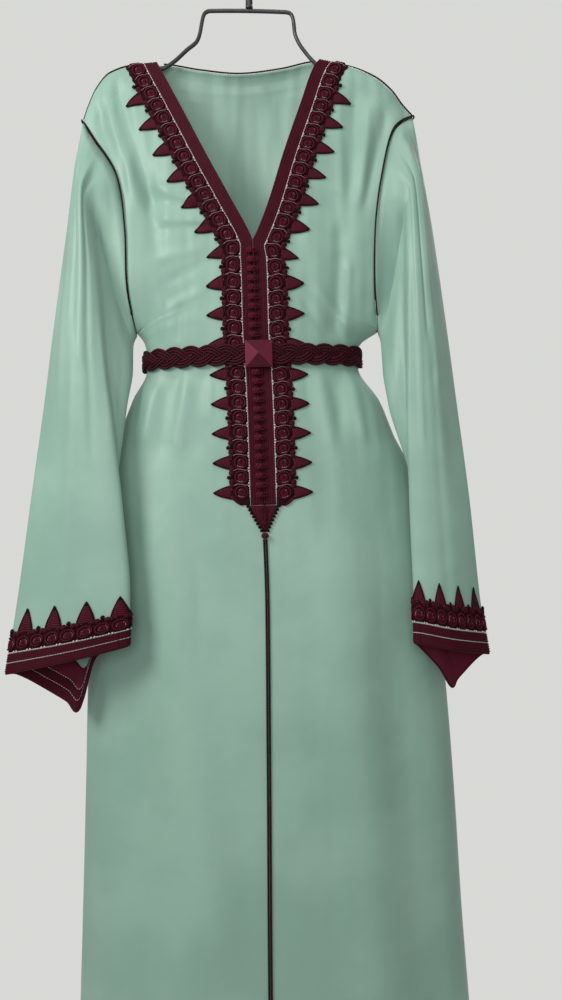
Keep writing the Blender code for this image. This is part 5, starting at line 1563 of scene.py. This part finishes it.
def twisted(path, radius, pitch, plies=2, up=(0.0, -1.0, 0.0), sides=5):
    """A cord of plies twisted together along a path."""
    path, track = evenly(path, pitch / 6.5)
    run = unit(np.gradient(path, axis=0))
    side = unit(np.cross(run, np.asarray(up, float)))
    top = np.cross(side, run)
    forms = []
    for ply in range(plies):
        turn = track * 2.0 * math.pi / pitch + ply * 2.0 * math.pi / plies
        line = path + (side * np.cos(turn)[:, None] + top * np.sin(turn)[:, None]) * radius * 0.46
        forms.append(rope(line, radius * 0.56, sides, False, top))
    return joined(forms)


for side, sign in (("left", -1.0), ("right", 1.0)):
    beside = (sign * (CORD_RADIUS + 0.0002), 0.0, 0.0)
    path = [middle_point(drop, WALL / 2 + 0.0003 + CORD_RADIUS) + beside
            for drop in np.linspace(*CORD_DROPS, 60)]
    build_form("front_seam_cord_" + side, twisted(path, CORD_RADIUS, CORD_PITCH), CORD_SILK, "cord",
               "front_cord_" + side)
    panel = BODY_PANELS[side]
    path = panel.points[0, 1:-1] + panel.facing[0, 1:-1] * PIPING_OUT
    path[:, 1] = 0.0
    build_form("shoulder_seam_piping_" + side, twisted(path, PIPING_RADIUS, PIPING_PITCH), CORD_SILK,
               "cord", "shoulder_piping_" + side)
    path = []
    for row in np.linspace(*ARMHOLE_PIPING_ROWS, 71):
        turn = float(body_column("armhole", abs(row))) * (1.0 if row >= 0.0 else -1.0)
        spot, ahead, behind = (around(ARMHOLE_POINTS[side], np.array(turn + step))
                               for step in (0.0, 0.05, -0.05))
        away = unit(sleeve_points(side, np.array([[0.25]]), np.array([[turn % 10.0]]))[0, 0] - spot)
        normal = np.cross(unit(ahead - behind), away)
        if normal @ (spot - np.array([sign * 0.15, 0.0, spot[2] - 0.02])) < 0.0:
            normal = -normal
        number = np.array([np.interp(abs(row), BODY_ROWS, np.arange(len(BODY_ROWS)))])
        if row >= 0.0:
            body = panel.read(number, np.array([panel.points.shape[1] - 1.0]))[1][0]
        else:
            col = 0.0 if side == "left" else BODY_PANELS["back"].points.shape[1] - 1.0
            body = BODY_PANELS["back"].read(number, np.array([col]))[1][0]
        path.append(spot + unit(unit(normal) + body) * PIPING_OUT)
    piping = twisted(path, PIPING_RADIUS, PIPING_PITCH, up=(sign, 0.0, 0.3))
    build_form("armhole_seam_piping_" + side, piping, CORD_SILK, "cord", "armhole_piping_" + side)
neck_line = BODY_PANELS["back"].points[0]
neck_line = neck_line[(neck_line[:, 0] > BACK_NECK_ENDS[0]) & (neck_line[:, 0] < BACK_NECK_ENDS[1])]
piping = twisted(neck_line + (0.0, 0.0, 0.0010 + PIPING_RADIUS), PIPING_RADIUS, PIPING_PITCH)
build_form("back_neck_seam_piping", piping, CORD_SILK, "cord", "back_neck_piping")


# Cuff lace: the same lace as at the neck, worked round each slanted cuff above its braid, with
# the leaves up the sleeve, and the same pale threads on its discs.
CUFF_LEAVES = 9
CUFF_ROUND = CUFF_LEAVES * LACE_PITCH
CUFF_START = 5.6 / 3.0
CUFF_LACE_FROM = 0.0242
CUFF_GROUND_TO = 0.0500
CUFF_LEAF_LENGTH = 0.0200
CUFF_LEAF_HALF = 0.0102

# Where trims lie on each cuff: distance up from the hem, and the sleeve's own row there.
CUFF_ROWS = {
    "left": ((0.0, 6.992), (0.0225, 6.725), (0.0240, 6.705), (0.0510, 6.42), (0.0710, 6.12),
             (0.0900, 5.80)),
    "right": ((0.0, 6.992), (0.0225, 6.575), (0.0240, 6.545), (0.0510, 6.10), (0.0710, 5.82),
              (0.0900, 5.55)),
}


def cuff_place(side):
    """Maps trims worked flat, with leaf 0 at 0 and the hem at 0, onto a cuff."""
    panel = SLEEVE_PANELS[side]
    table_across, table_v = zip(*CUFF_ROWS[side])
    level = CUFF_ROWS[side][3][1]
    row = np.interp(level, SLEEVE_ROWS, np.arange(len(SLEEVE_ROWS)))
    fine = np.linspace(0.0, SLEEVE_COLUMNS, 481)
    ring = panel.read(np.full(481, row), fine)[0]
    track = np.concatenate(([0.0], np.linalg.norm(np.diff(ring, axis=0), axis=1).cumsum()))
    start = np.interp(CUFF_START * SLEEVE_COLUMNS / 10.0, fine, track)

    def place(points):
        turn = points[:, 0] / (CUFF_LEAVES * LACE_PITCH)
        col = np.interp(np.mod(start + turn * track[-1], track[-1]), track, fine)
        v = np.interp(points[:, 1], table_across, table_v)
        rows = np.interp(v, SLEEVE_ROWS, np.arange(len(SLEEVE_ROWS)))
        spot, facing = panel.read(rows, col)
        return spot + facing * (WALL / 2 + points[:, 2:])

    def place_inside(points):
        spot = place(points * (1.0, 1.0, 0.0))
        facing = unit(place(points * (1.0, 1.0, 0.0) + (0.0, 0.0, 1.0)) - spot)
        return spot - facing * (WALL / 2 + 0.0012 + points[:, 2:])

    return place, place_inside


CUFF_PLACES = {side: cuff_place(side) for side in ("left", "right")}
for side in ("left", "right"):
    place = CUFF_PLACES[side][0]
    flat = lace_band(0.0, CUFF_ROUND, CUFF_LEAVES, CUFF_LACE_FROM, True, CUFF_LEAF_LENGTH, CUFF_LEAF_HALF)
    ground = ground_band(0.0, CUFF_ROUND, CUFF_LACE_FROM, CUFF_GROUND_TO, TRIM_LIFT, 0.0022)
    net = pale_net(0.0, CUFF_ROUND, CUFF_LACE_FROM - 0.0010, False)
    node = "cuff_lace_" + side
    build_form("cuff_lace_cordwork_" + side, sewn(flat["cord"], place), LACE_SILK, "lace", node)
    build_form("cuff_lace_picots_" + side, sewn(flat["dark"], place), PICOT_SILK, "lace", node)
    build_form("cuff_lace_ground_" + side, sewn(ground, place), LACE_GROUND, "lace", node)
    build_form("cuff_pale_net_" + side, sewn(net, place), STITCH_SILK, "lace", node)


# Cuff braid: two rows of the braid sewn round each slanted hem with a pale line above each, and
# a round cord over the hem's edge. The left cuff gapes and shows two rows more inside.
CUFF_BRAID_ROWS = (0.0002, 0.0118)
CUFF_BRAID_WIDTH = 0.0105
CUFF_BRAID_RIBS = 4
CUFF_LINES = ((0.0112, 0.0007), (0.0232, 0.0010))
INNER_BRAID_DEPTH = 0.0008
HEM_CORD = 0.0017


def cuff_bands(depth, lift):
    """The two rows of braid round a cuff in flat measures."""
    return joined([ribbed_band(0.0, CUFF_ROUND, low, low + CUFF_BRAID_WIDTH, CUFF_BRAID_RIBS, depth, lift)
                   for low in CUFF_BRAID_ROWS])


for side in ("left", "right"):
    place, place_inside = CUFF_PLACES[side]
    node = "cuff_braid_" + side
    build_form("cuff_braid_rows_" + side, sewn(cuff_bands(BRAID_DEPTH, TRIM_LIFT), place), BRAID_SILK,
               "braid", node)
    lines = joined([stitched_line(CUFF_ROUND, across, TRIM_LIFT + 0.0010, size)
                    for across, size in CUFF_LINES])
    build_form("cuff_light_lines_" + side, sewn(lines, place), STITCH_SILK, "braid", node)
    panel = SLEEVE_PANELS[side]
    hem = panel.points[-1] + panel.facing[-1] * 0.0003
    build_form("cuff_hem_cord_" + side, rope(hem, HEM_CORD, 8, True, panel.facing[-1]), BRAID_SILK,
               "braid", node)
    if side == "left":
        inner_lines = joined([stitched_line(CUFF_ROUND, across, INNER_BRAID_DEPTH, CUFF_LINES[0][1])
                              for across, _ in CUFF_LINES])
        build_form("cuff_inner_braid_" + side, sewn(cuff_bands(INNER_BRAID_DEPTH, 0.0), place_inside),
                   BRAID_SILK, "braid", "cuff_facing_" + side)
        build_form("cuff_inner_lines_" + side, sewn(inner_lines, place_inside), STITCH_SILK, "braid",
                   "cuff_facing_" + side)


# Cuff facing: a strip of burgundy satin cut to the slant of the cuff, turned in at the hem and
# felled to the inside of the sleeve, where it shows as the cuff gapes.
SATIN = silk("burgundy_satin", (0.150, 0.0110, 0.0340, 1.0), (0.100, 0.0070, 0.0220, 1.0),
             900.0, 0.02, 0.0, 0.34)

for side in ("left", "right"):
    panel = SLEEVE_PANELS[side]
    inside = SLEEVE_ROWS >= CUFF_ROWS[side][3][1]
    outer = panel.points[inside] - panel.facing[inside] * 0.0001
    inner = panel.points[inside] - panel.facing[inside] * 0.0010
    across, down = panel.lengths()
    uv_grid = np.stack((across[inside], down[inside]), -1)
    piece = build("cuff_facing_satin_" + side, *wall(outer, inner, True, uv_grid), SATIN, "satin")
    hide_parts("cuff_facing_" + side)
    facing_area = Panel(panel.points[inside], lambda point: point, True).area()
    "sleeve_" + side


# Belt: a plait (mdamma) of three strands, each of three round burgundy silk cords side by side,
# worn tight round the waist with both its ends under the buckle.
BELT_PLAIT = 0.0720
BELT_SWAY = 0.0093
BELT_OUT = 0.0046
BELT_CORD = 0.00190
BELT_SILK = silk("belt_cord_silk", (0.085, 0.0100, 0.0200, 1.0), (0.014, 0.0020, 0.0040, 1.0),
                 3.0, 0.0042, 1.0, 0.46)

waist_row = np.interp(16.5, BODY_ROWS, np.arange(len(BODY_ROWS)))
waist = []
for name, step in (("left", 1), ("back", 1), ("right", -1)):
    panel = BODY_PANELS[name]
    cols = np.arange(panel.points.shape[1], dtype=float)[::step]
    if name == "back":
        cols = cols[3:-3]
    waist.append(panel.at(np.full(len(cols), waist_row), cols, np.full(len(cols), WALL / 2)))
waist = np.concatenate(waist)
waist[:, 2] = 0.0
waist_track = np.concatenate(([0.0], np.linalg.norm(np.diff(waist, axis=0), axis=1).cumsum()))
belt_steps = np.linspace(0.0, waist_track[-1], 700)
belt_line = np.stack([np.interp(belt_steps, waist_track, waist[:, axis]) for axis in range(3)], -1)
calm = np.ones(9) / 9.0
belt_line = np.stack([np.convolve(np.pad(belt_line[:, axis], 4, "edge"), calm, "valid")
                      for axis in range(3)], -1)
belt_run = unit(np.gradient(belt_line, axis=0))
belt_normal = np.stack((belt_run[:, 1], -belt_run[:, 0], belt_run[:, 2] * 0.0), -1)
if (belt_normal * belt_line).sum(1).mean() < 0.0:
    belt_normal = -belt_normal
strands = []
for strand in range(3):
    phase = belt_steps * 2.0 * math.pi / BELT_PLAIT + strand * 2.0 * math.pi / 3.0
    slope_of = BELT_SWAY * np.cos(phase) * 2.0 * math.pi / BELT_PLAIT
    tilt = 1.0 / np.sqrt(1.0 + slope_of ** 2)
    for cord_number in (-1.0, 0.0, 1.0):
        offset = cord_number * BELT_CORD * 1.95
        height = BELT_SWAY * np.sin(phase) + offset * tilt
        slip = -offset * slope_of * tilt
        out = BELT_OUT + 0.0012 * np.sin(2.0 * phase) + 0.0003 * (1.0 - abs(cord_number))
        path = belt_line + belt_run * slip[:, None] + belt_normal * out[:, None]
        path[:, 2] = -BELT_DROP + height
        strands.append(rope(path, BELT_CORD, 7, False, belt_normal))
build_form("plaited_belt", joined(strands), BELT_SILK, "cord", "belt")


# Buckle: a square pointed block wrapped on all four faces in burgundy satin thread, sewn over
# the middle of the belt, where it hides the belt's hook.
BUCKLE_SIDE = 0.0370
BUCKLE_DEPTH = 0.0100
BUCKLE_X = 0.0045
BUCKLE_TURNS = 11.0
BUCKLE_GROOVE = 0.0004
BUCKLE_TIP = 0.0012
BUCKLE_THREADS = 1500.0
# Painted light on the buckle: a lit colour for its left and right faces, a shaded one for its top and
# bottom, and painted shade in the grooves between its threads.
SATIN_PAINTED_LIT = (0.180, 0.0190, 0.0480, 1.0)
SATIN_PAINTED_SHADE = (0.085, 0.0080, 0.0210, 1.0)
SATIN_GROOVE_SHADE = (0.030, 0.005, 0.010, 1.0)

rows, columns = 46, 48
share = np.linspace(0.0, 1.0, rows)
groove = np.abs(np.sin(share * math.pi * BUCKLE_TURNS)) ** 0.6 * BUCKLE_GROOVE * (share < 0.96)
half = (BUCKLE_SIDE / 2 - BUCKLE_GROOVE) * (1.0 - share) + BUCKLE_TIP * share
turn = np.arange(columns) / columns * 4.0
face = np.floor(turn).astype(int)
along_face = (turn - face) * 2.0 - 1.0
one = np.ones(columns)
faces = [face == 0, face == 1, face == 2]
corner_x = np.select(faces, [along_face, one, -along_face], -one)
corner_z = np.select(faces, [-one, along_face, one], -along_face)
buckle_base = middle_point(BELT_DROP, WALL / 2 + 0.0026 + 0.0046 + 0.0012 + 0.0006)
grid = np.zeros((rows, columns, 3))
grid[..., 0] = BUCKLE_X + corner_x[None] * (half + groove)[:, None]
grid[..., 1] = buckle_base[1] - (share * BUCKLE_DEPTH)[:, None]
grid[..., 2] = -BELT_DROP + corner_z[None] * (half + groove)[:, None]
uv = np.stack(np.meshgrid(np.append(turn, 4.0), share * 0.02, indexing="xy"), -1)
buckle_form = quads(grid, uv, False, True)
buckle_form = capped(buckle_form, list(range(columns)),
                     [(rows - 1) * columns + index for index in reversed(range(columns))])
buckle_dye = Dye("buckle_satin_thread", roughness=0.42, specular_ior_level=0.14)
buckle_turn, buckle_up = buckle_dye.threads()
# Painted light: the left and right faces take the lit colour, the top and bottom the shaded one.
painted_lit_sides = (buckle_turn * 0.5).part() > 0.5
thread = (buckle_up * (2.0 * math.pi * BUCKLE_THREADS)).wave() * 0.5 + 0.5
buckle_colour = buckle_dye.blend(painted_lit_sides, SATIN_PAINTED_SHADE, SATIN_PAINTED_LIT)
# Painted shade in the grooves between the wrapped threads.
buckle_colour = buckle_dye.blend(thread * 0.22, buckle_colour, SATIN_GROOVE_SHADE)
build_form("buckle_wrapped", outward(buckle_form), buckle_dye.finish(
    base_color=buckle_colour, normal=buckle_dye.relief(thread, 0.0002, 0.6)), "satin", "buckle")


# Hanger wire: one bent steel wire dipped in black satin paint. Its arms lie inside the
# shoulders and carry them, and its loop stands out of the neck to a straight bar.
WIRE_RADIUS = 0.0028
PAINT_BLACK = (0.018, 0.019, 0.018, 1.0)
PAINT_WORN = (0.042, 0.045, 0.043, 1.0)
LEFT_ARM = (0.1870, 0.1800, 0.1686, 0.1500, 0.1300)
RIGHT_ARM = (0.1010, 0.1200, 0.1393, 0.1540, 0.1650)
LEFT_ARM_UNDER = 0.0078
RIGHT_ARM_UNDER = 0.0080
LOOP = table(("x", "drop"), [
    (-0.0883, 0.1484), (-0.0740, 0.1365), (-0.0695, 0.1250), (-0.0660, 0.1080), (-0.0630, 0.0985),
    (-0.0560, 0.0945), (0.0530, 0.0985), (0.0590, 0.1020), (0.0615, 0.1100), (0.0632, 0.1280),
    (0.0680, 0.1410), (0.0780, 0.1560)])
paint = Dye("black_satin_paint", roughness=0.38, specular_ior_level=0.5, coat_weight=0.15)
paint_grain = paint.noise(420.0, 2.0, 0.6)
PAINT = paint.finish(base_color=paint.blend(paint_grain.over(0.3, 0.8), PAINT_BLACK, PAINT_WORN),
                     normal=paint.relief(paint_grain, 0.0001, 0.5),
                     roughness=0.30 + paint_grain * 0.18)

path = [(-across, 0.0, -float(smooth(SHOULDER["left"]["across"], SHOULDER["left"]["drop"], across))
         - LEFT_ARM_UNDER) for across in LEFT_ARM]
path += [(-0.1190, -0.0010, -0.1728), (-0.1054, 0.0, -0.1635)]
path += [(x, 0.0, -drop) for x, drop in zip(LOOP["x"], LOOP["drop"])]
path += [(0.0900, -0.0010, -0.1705)]
path += [(across, 0.0, -float(smooth(SHOULDER["right"]["across"], SHOULDER["right"]["drop"], across))
          - RIGHT_ARM_UNDER) for across in RIGHT_ARM]
wire = rope(evenly(path, 0.004)[0], WIRE_RADIUS, 12, False, (0.0, 1.0, 0.0))
build_form("bent_wire", wire, PAINT, "wire", "hanger_frame")


# Collar: a small turned steel post, painted with the wire, brazed on the middle of its bar and
# bored to take the hook.
BAR_DROP = 0.0965
POST_HEIGHT = 0.0290
GAP = 0.0003
COLLAR = table(("height", "radius"), [
    (0.0, 0.0030), (0.0004, 0.0046), (0.0016, 0.0052), (0.0040, 0.0052), (0.0046, 0.0044),
    (0.0058, 0.0044), (0.0064, 0.0050), (0.0240, 0.0046), (0.0262, 0.0050), (0.0280, 0.0049),
    (0.0288, 0.0040), (0.0290, 0.0030)])

post_base = -BAR_DROP + WIRE_RADIUS + GAP + 0.0003
collar = rope([(0.0, 0.0, post_base + height) for height in COLLAR["height"]], COLLAR["radius"], 24,
              False, (0.0, 1.0, 0.0))
build_form("turned_collar", collar, PAINT, "wire", "hanger_post")


# Hook: a length of the same painted wire, bent to a plain open hook and screwed into the
# collar. The inside of its bend is at the origin, where the whole garment hangs.
HOOK_RADIUS = 0.0230

bow = HOOK_RADIUS + WIRE_RADIUS
path = [(0.0, 0.0, post_base + POST_HEIGHT + GAP), (0.0, 0.0, -0.0600)]
for degrees in range(-62, 181, 8):
    angle = math.radians(degrees)
    path.append((bow * math.cos(angle), 0.0, bow * math.sin(angle) - HOOK_RADIUS))
hook = rope(path, WIRE_RADIUS, 12, False, (0.0, 1.0, 0.0))
build_form("bent_hook", hook, PAINT, "wire", "hanger_hook")
